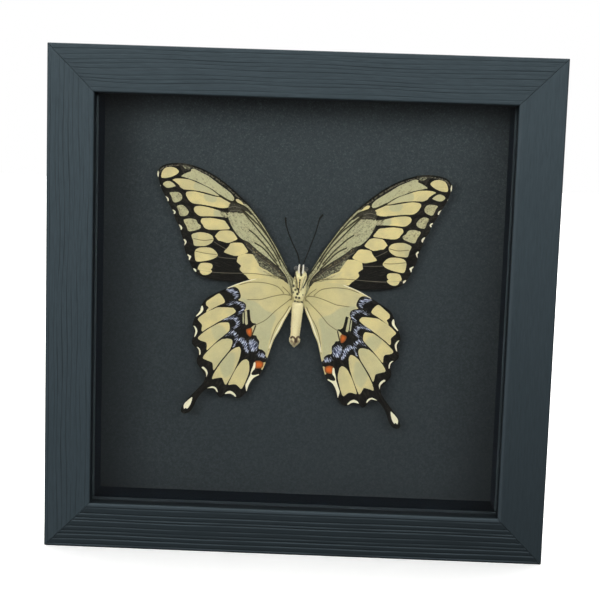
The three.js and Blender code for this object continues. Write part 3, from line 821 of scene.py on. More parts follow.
# %% Forewing pattern: the row across the middle, and the cell
FOREWING_PATCHES += [
    (3, 0.80, 0.36, [(-50.3, 50), (-49.3, 50.9), (-47.9, 51.6), (-46.4, 52.2), (-46.4, 52.9),
                     (-45.4, 53.2), (-44, 52.8), (-41.6, 51.6), (-39.3, 50.5), (-37, 48.9),
                     (-34.8, 47.3), (-32.5, 45.7), (-30.3, 44.1), (-29.4, 43.2), (-28.5, 41.9),
                     (-28.5, 41.2), (-29.4, 40.4), (-30.5, 40.7), (-32.1, 41.5), (-33.9, 42.6),
                     (-35.3, 43.5), (-37.1, 44.8), (-38.9, 45.8), (-40.7, 46.6), (-43.9, 48.1),
                     (-47.5, 49.2), (-49.3, 49.7)]),
    (3, 0.10, 0.0, [(-27.9, 41.2), (-26.9, 41.5), (-25.8, 40.8), (-24.9, 39.9), (-24.4, 39.1),
                    (-24.9, 38.9), (-26, 39.6), (-27.2, 40.1)]),
    (1, 0.10, 0.02, [(-53.8, 48.4), (-52.9, 48.9), (-51.1, 49.1), (-47.5, 48.9), (-45.7, 48.4),
                     (-42.1, 47), (-38.4, 45.3), (-35.3, 43.1), (-34.5, 42.4), (-35.9, 42.5),
                     (-40.5, 43.7), (-45, 44.4), (-48.6, 44.6), (-49.8, 45), (-50.7, 45.6),
                     (-51.2, 46.4), (-52.9, 47.8)]),
    (2, 0.05, 0.0, [(-48.3, 43.1), (-47.9, 43.7), (-46.6, 44), (-44.3, 44), (-39.8, 43),
                    (-36.2, 42.2), (-34.3, 42), (-32.8, 41.2), (-31.2, 40.4), (-29.9, 39.6),
                    (-29.8, 38.7), (-30.5, 38), (-31.9, 37.6), (-33.7, 37.5), (-37.1, 38),
                    (-41.6, 38.7), (-45.2, 39.1), (-47, 40.3), (-48.1, 42.1)]),
    (1, 0.05, 0.0, [(-44.9, 37), (-44.5, 37.7), (-43.9, 38), (-42.1, 38.2), (-38.4, 37.6),
                    (-35.3, 36.7), (-32.5, 35.9), (-31, 35.6), (-31, 34.2), (-31.5, 33.6),
                    (-33.7, 33.9), (-38.2, 34), (-42.3, 34), (-44.1, 35.2), (-44.7, 36)]),
    (2, 0.05, 0.0, [(-41.9, 32.5), (-41.4, 33.1), (-40.2, 33.3), (-38, 33.4), (-35.7, 33.1),
                    (-32.5, 32.5), (-31.6, 31.7), (-30.3, 29.9), (-30, 29.3), (-30.7, 28.9),
                    (-34.8, 28.6), (-38.2, 28.5), (-39.8, 28.9), (-40.7, 29.6), (-41, 30.3),
                    (-41.9, 31.4)]),
    (1, 0.05, 0.0, [(-36, 26), (-34.4, 28), (-32.8, 28.4), (-31, 28.5), (-29.6, 28.3),
                    (-28.5, 27.7), (-27.1, 25.8), (-26.9, 24.9), (-28.7, 24), (-30.7, 23.3),
                    (-33.5, 24), (-34.6, 24.2), (-35.7, 25.5)]),
    (2, 0.05, 0.0, [(-32.1, 19.8), (-30.3, 21.9), (-29.8, 23), (-28.7, 23.5), (-26.7, 23.6),
                    (-25.1, 23.5), (-24.2, 22.9), (-22.8, 21), (-22.3, 20.1), (-22.7, 19.5),
                    (-25.1, 18.5), (-27.3, 18), (-29.6, 18.5), (-31.8, 19.2)]),
    (1, 0.05, 0.0, [(-26.4, 17.9), (-26.8, 16.1), (-26.7, 15.4), (-25.1, 14.1), (-25.5, 13.1),
                    (-25.4, 12.2), (-23.9, 10.8), (-22.8, 9.9), (-22, 9), (-20.9, 8.4),
                    (-14, 7.8), (-9.2, 7.3), (-6.8, 7.6), (-7.2, 8.5), (-8.7, 9.4), (-10.4, 10.2),
                    (-12.3, 11.2),
                    (-13.9, 12.3), (-15.7, 13.2), (-17.3, 14.1), (-17.9, 15.2), (-18.6, 16.4),
                    (-19.3, 17.5), (-20, 18.6), (-20.5, 19), (-21.7, 19.1), (-23.3, 19.2),
                    (-24.4, 18.8), (-26.2, 18.2)]),
    # the cell, and the dark wedge below it
    (3, 0.85, 0.42, [(-31.2, 35), (-30.7, 33.4), (-30.2, 32), (-29.4, 30.4), (-28.6, 29),
                     (-27.6, 27.6), (-26.4, 26.3), (-25, 25.1), (-23.4, 24.4), (-21.9, 23.7),
                     (-19.5, 21.5), (-17, 19.6), (-13.9, 17.4), (-11.1, 15.2), (-9.6, 14.1),
                     (-7.2, 11.4), (-5.9, 9.2), (-5.6, 7.4), (-5.6, 5.0), (-5.4, 3.0), (-2.4, 3.0),
                     (-2.4, 9.3), (-3.4, 10.4), (-5.4, 12.9), (-7.4, 16),
                     (-10.2, 21.2), (-13.6, 26.6), (-17.2, 32.1), (-21.6, 37.6), (-24, 39.6),
                     (-26.5, 38.4), (-29.5, 37)]),
    (2, 1.0, 0.59, [(-20.7, 20), (-20.2, 19.3), (-19.2, 17.2), (-17.5, 14.6), (-15.2, 13),
                    (-12.4, 11.2), (-10.1, 10.1), (-8.2, 9.9), (-8.9, 10.9), (-11.1, 12.9),
                    (-14.3, 15), (-17.4, 17.2), (-19.8, 19.5)]),
    # the brown band between the cell and the wedge, and the smudge at the cell's end
    (1, 0.0, 0.69, [(-23.6, 24.2), (-21.9, 23.2), (-19.5, 21.1), (-17, 19.2), (-13.9, 17),
                    (-11.1, 14.5), (-8.1, 11.5), (-6.4, 9.2), (-6.2, 7.8), (-6.8, 8.1), (-7.6, 9.1),
                    (-8.9, 10.7), (-11.1, 13), (-13.4, 14.9), (-17.4, 17.6), (-20.6, 20.5),
                    (-22.7, 22.2)]),
    (1, 1.0, 0.72, [(-29.2, 39.3), (-27.4, 39.5), (-25.2, 38.9), (-23.6, 38.1), (-25, 36.9),
                    (-27, 36.5), (-29.6, 36.4), (-30.2, 37.6)]),
    # a grey patch on the leading edge near the tip
    (2, 1.0, 0.55, [(-49.8, 54.4), (-48, 54.4), (-46.6, 53.6), (-47.2, 52.9), (-49, 53.3)]),
]
# Soft dark clouds over the patches: strength, softness of the edge, outline.
FOREWING_CLOUDS = [
    (0.72, 1.2, [(-30.4, 39.6), (-27.5, 39.8), (-24.6, 38.9), (-22.5, 37.8), (-20.6, 35.3),
                 (-21.8, 35.1), (-23.6, 36.4), (-25.1, 35.4), (-27.4, 35.7), (-30.3, 35.6),
                 (-30.9, 37.2)]),
    (0.52, 1.4, [(-34.6, 36.8), (-31, 36.4), (-30.8, 33.4), (-33.2, 33.6)]),
    (0.40, 2.2, [(-26.5, 26.6), (-25.5, 28.6), (-22.4, 26), (-18.4, 22.6), (-19.4, 21.4),
                 (-23, 24.4)]),
    (0.43, 1.6, [(-22.5, 34.6), (-12.6, 21.5), (-9.5, 16), (-10.5, 16), (-15, 21.5), (-24, 33)]),
    (0.48, 1.0, [(-17, 13), (-12, 11), (-8, 9.6), (-7, 8.4), (-13, 9.8)]),
]
# Soft grey areas, where the wing below shows through the cream: amount, softness, outline.
FOREWING_TINTS = [
    (0.75, 0.9, [(-45, 47), (-44.7, 44.6), (-39.4, 43.6), (-34.7, 42.3), (-36, 44), (-40, 46.3),
                 (-43.4, 47.9)]),
    (0.70, 0.8, [(-41.1, 42.5), (-39.9, 40.3), (-37, 39.7), (-35.6, 40.8), (-36.1, 42.4),
                 (-38.8, 43.3)]),
    (0.80, 1.2, [(-36.5, 36.8), (-36.4, 34), (-33.9, 33.5), (-30.8, 33.4), (-31, 35.8),
                 (-33.7, 36.6)]),
    (0.55, 1.0, [(-45.4, 26.9), (-43, 27.4), (-43.4, 21.4), (-45.4, 21.8)]),
    (0.45, 1.2, [(-18.5, 14), (-13, 11.6), (-8, 10), (-6, 8.4), (-13, 9.4), (-17, 11.5)]),
]
print("forewing patches:", len(FOREWING_PATCHES))

# %% Forewing pattern: white edge marks and veins
FOREWING_WHITE = [
    [(-59.75, 52.2), (-59.4, 50.6), (-59.75, 49), (-60.1, 50.6)],
    [(-58.95, 46.4), (-58.5, 46), (-58.6, 45.4), (-59, 45.8)],
    [(-56.6, 41.8), (-55.8, 41.4), (-55.2, 40.7), (-55.2, 39.8), (-55.65, 39.7), (-55.9, 40.5),
     (-56.3, 41.2)],
    [(-53.6, 36.3), (-52.9, 36.2), (-52.25, 35.5), (-52.4, 34.8), (-53, 34.4), (-53.2, 35),
     (-52.9, 35.3), (-53.4, 35.7)],
    [(-51, 30.3), (-50.2, 30.1), (-49.5, 29.2), (-49.6, 28.3), (-50.1, 28), (-50.3, 28.7),
     (-50.6, 29.4)],
    [(-48.9, 24.2), (-48.3, 24.3), (-47.6, 23.3), (-48, 22.2), (-48.6, 21.6), (-48.5, 22.4),
     (-48.4, 23.1), (-48.7, 23.6)],
    [(-47.3, 18.2), (-46.3, 17.8), (-45.5, 17.2), (-45.9, 16.4), (-46.3, 15.5), (-46.6, 16.1),
     (-46.6, 17), (-47.1, 17.6)],
    [(-44.7, 12.4), (-43.8, 12.2), (-43.3, 11.5), (-43.5, 10.9), (-44.2, 11.3)],
]
# Dark lines drawn by the veins of the cell and the leading edge.
FOREWING_LINES = [
    [(-4.6, 11.2), (-6.2, 13.2), (-9.2, 18.2), (-12.4, 23.7), (-15.4, 28.3), (-18.1, 32),
     (-20.8, 35.3), (-23.8, 38.3), (-26.3, 39.4), (-28.3, 40.2), (-30.3, 40.6), (-32.1, 41.5),
     (-34.6, 42.9)],
    [(-25, 37.1), (-22.4, 34.9), (-19.6, 32.3), (-17.5, 30.3), (-14.4, 26.4), (-11.5, 22),
     (-9.2, 17.6)],
    [(-24.5, 36), (-22.1, 33.4), (-19.3, 30.1), (-16.7, 27), (-13.7, 23.4), (-10.8, 19),
     (-8.5, 14.4)],
    [(-22, 28.9), (-19.7, 27.2), (-17.8, 25.3), (-15.5, 22.9), (-13, 19.9), (-10.6, 16.6)],
    [(-19.5, 23.6), (-16.6, 22), (-14.5, 20), (-12.3, 17.4), (-9.6, 14.3)],
    [(-28.4, 42.1), (-28, 40.1)],
]
# Thin brown veins that show on cream.
FOREWING_VEINS = [
    [(-8.4, 14), (-6.6, 11.4), (-5.1, 8.8), (-4.3, 6.2), (-3.9, 4)],
    [(-5.2, 11.4), (-4.2, 9.6), (-3.6, 7.6)],
    [(-24, 11), (-19.3, 11), (-16.1, 10.7), (-13.9, 10.5), (-10, 10.2), (-7.5, 9.6)],
    [(-43.8, 19.4), (-39, 18.6), (-35.4, 18.4)],
    [(-44.6, 24.6), (-40.5, 24), (-37, 24.6)],
]
# Thin veins that show pale on the dark scales.
FOREWING_PALE = [
    [(-22.7, 22), (-20.6, 20.4), (-17.4, 17.5), (-13.4, 14.9), (-11.1, 13.1), (-8.7, 10.7),
     (-6.4, 9.6)],
    [(-30.6, 37.8), (-28.4, 38.4), (-26, 37.9)],
    [(-29.8, 36.5), (-27.4, 36.9), (-25.4, 36.5)],
    [(-43.5, 11.9), (-36, 11), (-30, 10.9), (-24, 11)],
    [(-36, 17.6), (-31, 17), (-27, 16.8)],
    [(-36, 23.4), (-33, 21.6), (-31, 20.6)],
]
# Stiff veins that stand up from the sheet, root to margin.
FOREWING_RIDGES = [
    [(-6, 11.5), (-15.5, 27), (-23.8, 38.2), (-33.9, 42.4), (-47.5, 49.1), (-59, 50.8)],
    [(-26.3, 39.3), (-36, 42.4), (-48, 44.6), (-58.6, 46.9)],
    [(-28, 37.5), (-33.7, 37), (-45.8, 38.4), (-56.5, 42)],
    [(-31.2, 34.6), (-36, 33.6), (-44, 33.4), (-54, 36.5)],
    [(-29.6, 29), (-38, 28.3), (-43, 27.7), (-51.5, 30.4)],
    [(-27, 24.2), (-34, 23), (-38, 21.4), (-49.7, 24.8)],
    [(-7, 11), (-16, 18.4), (-22.6, 19.6), (-34.5, 17.4), (-44.6, 15), (-48, 18.6)],
    [(-6, 9.5), (-13.9, 10.5), (-25, 11), (-36.8, 11.6), (-46, 13.6)],
]
print("forewing lines:", len(FOREWING_LINES), "veins:", len(FOREWING_VEINS))

# %% Hindwing pattern: cream patches
HINDWING_PATCHES = [
    # the large basal field
    (3, 0.30, 0.20, [(-30.2, 5.2), (-27.8, 5.2), (-26.7, 5), (-25.7, 4.2), (-25.2, 3), (-24.8, 1.8),
                    (-25, 0.7), (-25.8, -0.1), (-25.1, -0.4), (-23.7, -0.9), (-22.8, -1.6),
                    (-22.5, -2.7), (-22.8, -3.8), (-23.3, -4.7), (-22.5, -4.5), (-21.5, -4.05),
                    (-21, -4.05), (-20.8, -5.9), (-20.5, -7.7), (-20.2, -8.8), (-19.4, -9.5),
                    (-18.2, -9.75), (-18.3, -10.6), (-18.9, -12.3), (-19.4, -13.6), (-19.3, -14.5),
                    (-18, -14.8), (-17.5, -15.9), (-16.7, -16.9), (-16.7, -18), (-16.9, -19.6),
                    (-16.5, -20.3), (-15.5, -20.5), (-14.4, -21.3), (-13.9, -22.1), (-13.9, -23),
                    (-12.6, -24.2), (-11, -22), (-8, -14), (-4, -7), (0, 2), (0, 8), (-5, 11),
                    (-14, 11), (-20, 10.5), (-26, 8.6)]),
    (1, 0.10, 0.0, [(-33.6, 2.3), (-32.1, 0.9), (-31.2, -0.9), (-31.8, -1.7), (-33.5, -2.5),
                    (-36, -3.9), (-38.8, -5.6), (-38.5, -4.5), (-37.9, -3.6), (-38.9, -2.7),
                    (-39, -1.6), (-38.5, -0.8), (-36, 1), (-34.9, 1.8)]),
    (2, 0.10, 0.0, [(-28.5, -3.4), (-27.6, -3.6), (-26.7, -5.1), (-28.7, -6.7), (-31.2, -8.1),
                    (-33.7, -9.5), (-36, -11), (-38.7, -12.7), (-39.8, -13.6), (-40.5, -13.7),
                    (-40.7, -12.9), (-40.5, -11.1), (-41.4, -9.9), (-42.3, -8.6), (-41, -7.2),
                    (-38.5, -5.4), (-35.8, -4.1), (-34.2, -3.4), (-30.1, -3.3)]),
    (1, 0.16, 0.0, [(-30.5, -9.6), (-29.6, -9.7), (-29.1, -10.5), (-29.1, -12.9), (-30.8, -14.7),
                    (-33.5, -17), (-36, -19.5), (-38, -21.4), (-38.4, -21.1), (-38.3, -19.9),
                    (-38.7, -18.3), (-40.7, -17.7), (-41.9, -17), (-41.9, -16.1), (-40.3, -14.5),
                    (-37.6, -12.4), (-34.4, -10.5), (-32.8, -9.8)]),
    (2, 0.45, 0.20, [(-31.2, -16.5), (-29.6, -16.3), (-28.2, -16.6), (-27.7, -17.4), (-27.8, -18.7),
                    (-28.7, -21), (-30.7, -23.7), (-33, -26.7), (-34.8, -29.5), (-35.4, -29.6),
                    (-35.7, -27.3), (-36.2, -26.5), (-38.7, -25.5), (-39.7, -25), (-39.5, -23.9),
                    (-37.8, -21.7), (-35, -18.8), (-32.3, -16.8)]),
    (1, 0.28, 0.0, [(-26, -19.9), (-24.8, -19.7), (-24.3, -20.5), (-24.1, -21.7), (-24.7, -24.8),
                    (-26, -28.2), (-27.6, -31.6), (-29.4, -35), (-29.9, -35.7), (-30.5, -35.5),
                    (-31.4, -33.5), (-31.9, -32.9), (-34.4, -33.3), (-35.8, -33.5), (-35, -31),
                    (-33, -27.6), (-30.7, -24.4), (-28.5, -21.6), (-27.1, -20.5)]),
    (2, 0.22, 0.0, [(-22.6, -25), (-21.7, -24.8), (-21, -25.3), (-20.6, -26.2), (-20.4, -29.6),
                    (-21.4, -33), (-22.8, -36.4), (-23.5, -37.2), (-24, -37.1), (-25.5, -35.7),
                    (-26.9, -35.5), (-29, -35.7), (-28, -33), (-26.4, -29.6), (-24.6, -26.8),
                    (-23.5, -25.5)]),
    # two thin strips beside the dark bar, and the cream wedge of the upper orange spot
    (1, 0.75, 0.10, [(-23, -4.9), (-22.1, -4.5), (-21.9, -6.5), (-21.6, -9.9), (-22.7, -9.9),
                     (-22.9, -6)]),
    (2, 1.0, 0.35, [(-23.8, -5.5), (-23.35, -5.5), (-23.2, -9.5), (-23.7, -9.5)]),
    (1, 0.0, 0.0, [(-20.1, -11.4), (-18.2, -10.1), (-18.8, -12.5), (-19.6, -14.8), (-19.8, -13)]),
    # the cream rim of the lower orange spot
    (1, 0.0, 0.0, [(-14.6, -25.9), (-13.7, -25.8), (-14, -27.2), (-14.7, -28.9), (-15.6, -28.8),
                   (-14.9, -27.4)]),
]
# Soft changes of greyness over the cream: amount, softness, outline.
HINDWING_TINTS = [
    (0.80, 1.2, [(-25, 0.6), (-18.4, -0.6), (-14.7, -3.6), (-10.1, -6.2), (-11.2, -11), (-12.6, -18),
                 (-13.6, -23), (-17, -19), (-19.4, -14), (-19.4, -9.6), (-22, -5)]),
    (0.75, 2.0, [(-33, -25.5), (-27, -22), (-27, -30), (-31, -33)]),
    (0.65, 1.5, [(-37, -12.2), (-33, -10.5), (-30, -14), (-34, -17.5)]),
    (0.25, 1.5, [(-24.8, -33), (-21.2, -31), (-21.6, -35), (-24, -37)]),
]
HINDWING_CLOUDS = [
    (0.28, 0.8, [(-4.6, -1), (-6.6, -5), (-9.8, -10), (-11.8, -15.5), (-12.9, -20.5), (-12, -20.5),
                 (-10.9, -15), (-8.8, -9.8), (-5.6, -4.4)]),
]
print("hindwing patches:", len(HINDWING_PATCHES))

# %% Hindwing pattern: white, blue and orange
HINDWING_WHITE = [
    # half moons in the scallops
    [(-40.6, -2.8), (-40.2, -3.4), (-40, -4.5), (-40.5, -5.6), (-41.7, -6.8), (-42.8, -7.6),
     (-43.1, -7.3), (-42.3, -6.3), (-41.4, -5), (-41.1, -3.6)],
    [(-44.1, -11.4), (-43.5, -11.5), (-42.7, -12.4), (-42.3, -13.6), (-42.6, -14.9), (-43.4, -16.3),
     (-43.7, -16.2), (-43.4, -14.9), (-43.2, -13.6), (-43.6, -12.3)],
    [(-42.7, -20.3), (-42, -20.3), (-41.2, -20.9), (-40.8, -21.9), (-40.8, -23.3), (-41.3, -23.7),
     (-41.4, -22.6), (-41.7, -21.3)],
    [(-40.3, -28.9), (-39.7, -28.4), (-38.9, -28.8), (-38, -29.8), (-37.6, -31), (-37.9, -32.1),
     (-38.3, -32.9), (-38.3, -31.6), (-38.7, -30.5), (-39.5, -29.6)],
    [(-37.9, -37.6), (-36.4, -36.8), (-35.3, -36.6), (-34.1, -37.1), (-33.5, -38), (-33.2, -39.1),
     (-33.7, -39), (-34.4, -38), (-35.3, -37.4), (-36.6, -37.5)],
    [(-30.4, -39.7), (-29.6, -38.7), (-28.2, -38.2), (-26.9, -38.7), (-26, -39.6), (-25.5, -40.5),
     (-26, -40.7), (-26.9, -40), (-28, -39.5), (-29.4, -39.6)],
    # the spot on the tail
    [(-43.8, -41.4), (-43.9, -42.7), (-44.3, -44.1), (-45.1, -45.7), (-45.9, -46.5), (-46.4, -46.1),
     (-47.1, -46.6), (-47.4, -45.5), (-47.1, -44.3), (-46.1, -43.2), (-45, -42.2)],
    # the forked streak at the inner corner
    [(-18.6, -26), (-19.1, -27.8), (-19.6, -29.1), (-20, -31), (-20.5, -32.3), (-21.3, -34.1),
     (-21.9, -35.5), (-21.7, -37.1), (-21.4, -38.3), (-21.1, -37.8), (-20.5, -35.7), (-19.6, -33.9),
     (-18.5, -32.5), (-17.4, -31.8), (-16.2, -31.2), (-16.5, -30.7), (-17.4, -31), (-18.5, -31.2),
     (-19.3, -31.1), (-19.4, -30.5), (-18.9, -29.6), (-18, -28.4), (-17.9, -26)],
    # a pale fold along the inner margin
    [(-3.9, -2.4), (-4.8, -4), (-6.9, -8), (-8.7, -12), (-10.9, -16), (-12.2, -19.8), (-12.7, -20),
     (-11.6, -16.4), (-9.6, -12.4), (-7.7, -8.4), (-5.5, -4.3), (-4.4, -2.4)],
    # a bright rim on the leading edge
    [(-19, 9.1), (-24, 7.8), (-28, 6.2), (-30.6, 4.9), (-30.2, 4.5), (-27.8, 5.6), (-23.8, 7.2),
     (-19, 8.6)],
]
HINDWING_BLUE = [
    [(-30.5, 4), (-28.7, 4.6), (-26.9, 3.7), (-26, 2.4), (-26.2, 0.8), (-27.1, 0.4), (-27.5, 1.9),
     (-28.6, 2.9), (-30, 3.2)],
    [(-30.3, -2), (-28.3, -1.1), (-25.8, -0.9), (-23.7, -2), (-23.1, -3.7), (-23.9, -5.1),
     (-26, -5.9), (-24.7, -4.5), (-24.2, -3.6), (-24.4, -2.5), (-25.7, -1.7), (-27.5, -1.8)],
    [(-32.4, -8.8), (-29.7, -7.6), (-28, -7.1), (-26.3, -7.4), (-25.2, -9), (-25.5, -10.8),
     (-26.9, -12), (-28.3, -12.6), (-26.8, -11), (-26.5, -9.6), (-27, -8.7), (-28.3, -8.1),
     (-29.9, -8.4)],
    [(-30.5, -15.1), (-29, -14), (-27.4, -13.2), (-26, -14.3), (-25.4, -16), (-25.8, -17.6),
     (-27.4, -19.6), (-26.7, -17.2), (-26.6, -15.6), (-27.5, -14.4), (-28.9, -14.8)],
    [(-25.2, -16.6), (-24, -15.9), (-22.2, -17.3), (-21.2, -19.6), (-21.6, -22), (-22.6, -20.6),
     (-23.4, -18.6), (-24.4, -17.5)],
    [(-20.5, -17.1), (-18.9, -16.6), (-17.2, -18.6), (-17.5, -20.4), (-18.6, -21.2), (-20.2, -20.9),
     (-21.2, -19.4), (-21.1, -18.3)],
    [(-17.6, -22.2), (-16.2, -21.7), (-14.8, -22.2), (-14.1, -23.4), (-14.5, -24), (-16.9, -23)],
]
HINDWING_ORANGE = [
    [(-22.2, -12.4), (-21.2, -11.8), (-19.9, -11.6), (-19.6, -12.8), (-19.7, -13.8), (-20.2, -15.1),
     (-21.1, -14.9), (-21.9, -13.9)],
    [(-18.2, -25.7), (-17.4, -25.2), (-16, -25.2), (-14.7, -26), (-14.7, -27.2), (-15.2, -28.2),
     (-16.8, -28.4), (-18.1, -28.1)],
]
HINDWING_LINES = [
    [(-18.3, -10.6), (-19, -12.6), (-19.7, -14.6)],
]
HINDWING_VEINS = [
    [(-3.9, 2.6), (-3.8, 0.9), (-4.4, 0.7), (-5.2, 0.4)],
    [(-4.4, 2.8), (-5.7, 4.3), (-7.5, 5.9)],
    [(-7.1, 3.4), (-9.3, 5.7), (-12.1, 6.8), (-16.1, 7.5), (-21.1, 7.4), (-25.2, 6.3)],
    [(-4.5, 2.6), (-7.3, 2.8), (-11.6, 1.9), (-16.1, 0.5), (-18.4, 0.3), (-21.8, 0.2)],
    [(-4.2, 1.2), (-5.5, 0), (-10.1, -3.9), (-14.1, -7.9), (-17.8, -10)],
    [(-4.6, -2), (-6.4, -5.2), (-9.6, -10.2), (-11.4, -15), (-12.5, -20.4)],
]
HINDWING_RIDGES = [
    [(-4, 3), (-9.3, 5.7), (-16, 7.5), (-25.2, 6.3), (-30, 3), (-36, 2)],
    [(-4, 2.6), (-11.6, 1.9), (-21.8, 0.2), (-27, -1), (-33, -2.2), (-39, -5.8), (-44, -9.2)],
    [(-21.8, 0.2), (-23.2, -5), (-27.5, -7), (-33.7, -9.8), (-40.2, -14), (-44.4, -18)],
    [(-23.2, -5), (-24.6, -12), (-29.2, -14.6), (-33.5, -18), (-38.2, -21.9), (-42.2, -27.2)],
    [(-24.6, -12), (-26.3, -17.5), (-30.5, -24.2), (-35.3, -30.4), (-39.5, -37), (-46, -46)],
    [(-4, 1), (-10, -4), (-17.8, -10), (-22, -17), (-24.4, -25), (-28.9, -35.6), (-31.8, -41)],
    [(-17.8, -10), (-19.5, -18), (-20, -26), (-20.6, -30), (-23.6, -38), (-24, -40.8)],
    [(-4, -2), (-9.6, -10.2), (-12.5, -20.4), (-16, -27), (-18, -32)],
]
print("blue areas:", len(HINDWING_BLUE), "white marks:", len(HINDWING_WHITE))

# %% Measuring the pattern
# Depths and distances are cut off at REACH; FAN_REACH turns an angle about the root into mm.
REACH = 3.0
WING_ROOT = np.array([-2.0, 7.5])
FAN_REACH = 28.0


def patch_depth(points, corners):
    """How deep each point lies inside a smooth closed curve; negative outside, cut at REACH."""
    loop = through(corners, steps=4, closed=True)
    depth = np.full(len(points), -REACH)
    low, high = loop.min(axis=0) - REACH, loop.max(axis=0) + REACH
    near = np.flatnonzero(np.all((points > low) & (points < high), axis=1))
    if len(near) == 0:
        return depth
    p = points[near][:, None, :]
    edge = np.roll(loop, -1, axis=0) - loop
    away = p - loop
    part = np.clip((away * edge).sum(axis=-1) / (edge ** 2).sum(axis=-1), 0, 1)
    distance = np.linalg.norm(away - part[..., None] * edge, axis=-1).min(axis=1)
    with np.errstate(divide="ignore", invalid="ignore"):
        beside = away[..., 0] < away[..., 1] * edge[:, 0] / edge[:, 1]
    straddles = (away[..., 1] < 0) != (away[..., 1] - edge[:, 1] < 0)
    inside = (straddles & beside).sum(axis=1) % 2 == 1
    depth[near] = np.clip(np.where(inside, distance, -distance), -REACH, None)
    return depth


def deepest(points, patches):
    """The depth inside whichever patch holds each point best."""
    depths = [patch_depth(points, patch) for patch in patches]
    return np.max(depths, axis=0) if depths else np.full(len(points), -REACH)


def line_distance(points, lines):
    """Distance to the nearest line, and the same with a sign for the side of the line."""
    nearest_yet = np.full(len(points), REACH)
    side = np.ones(len(points))
    for line in lines:
        curve = through(line, steps=5)
        edge = np.diff(curve, axis=0)
        away = points[:, None, :] - curve[:-1]
        part = np.clip((away * edge).sum(axis=-1) / (edge ** 2).sum(axis=-1), 0, 1)
        gap = away - part[..., None] * edge
        distance = np.linalg.norm(gap, axis=-1)
        closest = distance.argmin(axis=1)[:, None]
        distance = np.take_along_axis(distance, closest, axis=1)[:, 0]
        turn = edge[:, 0] * away[..., 1] - edge[:, 1] * away[..., 0]
        turn = np.take_along_axis(turn, closest, axis=1)[:, 0]
        closer = distance < nearest_yet
        nearest_yet = np.where(closer, distance, nearest_yet)
        side = np.where(closer, np.where(turn < 0, -1.0, 1.0), side)
    return nearest_yet, nearest_yet * side


def soft_areas(points, areas):
    """The strongest of several soft-edged areas at each point, from 0 to 1."""
    total = np.zeros(len(points))
    for strength, softness, corners in areas:
        part = np.clip(patch_depth(points, corners) / softness + 0.5, 0, 1)
        total = np.maximum(total, strength * part * part * (3 - 2 * part))
    return total


print("depths beside a patch are followed for", REACH, "mm")

# %% One number per grid point
def pattern(grid, patches, tints, clouds, white, blue, orange, lines, veins, pale, leading):
    """Every measure of the pattern that the finish needs, one number per grid point."""
    points = grid.reshape(-1, 2)
    depths = np.array([patch_depth(points, corners) for _, _, _, corners in patches])
    best = depths.argmax(axis=0)
    groups = np.array([group for group, _, _, _ in patches])
    values = {f"cream_{group}": depths[groups == group].max(axis=0) for group in (1, 2, 3)}
    greyness = np.array([grey for _, grey, _, _ in patches])[best]
    dusting = np.array([dust for _, _, dust, _ in patches])[best]
    values["greyness"] = np.maximum(greyness, soft_areas(points, tints))
    values["dusting"] = np.maximum(dusting, soft_areas(points, clouds))
    for key, marks in (("white", white), ("blue", blue), ("orange", orange)):
        values[key] = deepest(points, marks)
    values["line_near"], values["line_side"] = line_distance(points, lines)
    values["vein_near"], values["vein_side"] = line_distance(points, veins)
    values["pale_near"], values["pale_side"] = line_distance(points, pale)
    away = points - WING_ROOT
    values["fan_away"] = np.linalg.norm(away, axis=-1)
    values["fan_turn"] = FAN_REACH * np.arctan2(away[:, 1], -away[:, 0])
    values["edge_near"] = line_distance(points, leading)[0]
    return values


forewing_values = pattern(
    forewing_grid, FOREWING_PATCHES, FOREWING_TINTS, FOREWING_CLOUDS, FOREWING_WHITE, [], [],
    FOREWING_LINES, FOREWING_VEINS, FOREWING_PALE, [FOREWING_RUNS[0]])
hindwing_values = pattern(
    hindwing_grid, HINDWING_PATCHES, HINDWING_TINTS, HINDWING_CLOUDS, HINDWING_WHITE,
    HINDWING_BLUE, HINDWING_ORANGE, HINDWING_LINES, HINDWING_VEINS, [], [])
for name, values in (("forewing", forewing_values), ("hindwing", hindwing_values)):
    print(name, "measures:", sorted(values))

# %% [markdown]
# ## The wing finish
#
# The colours are laid one over another, as the scales are: brown-black ground, cream patches,
# a dusting of dark scales, then veins, blue, orange and white. Each edge is a smooth step of
# the stored depth plus a little noise, so it looks frayed close up and crisp from afar.

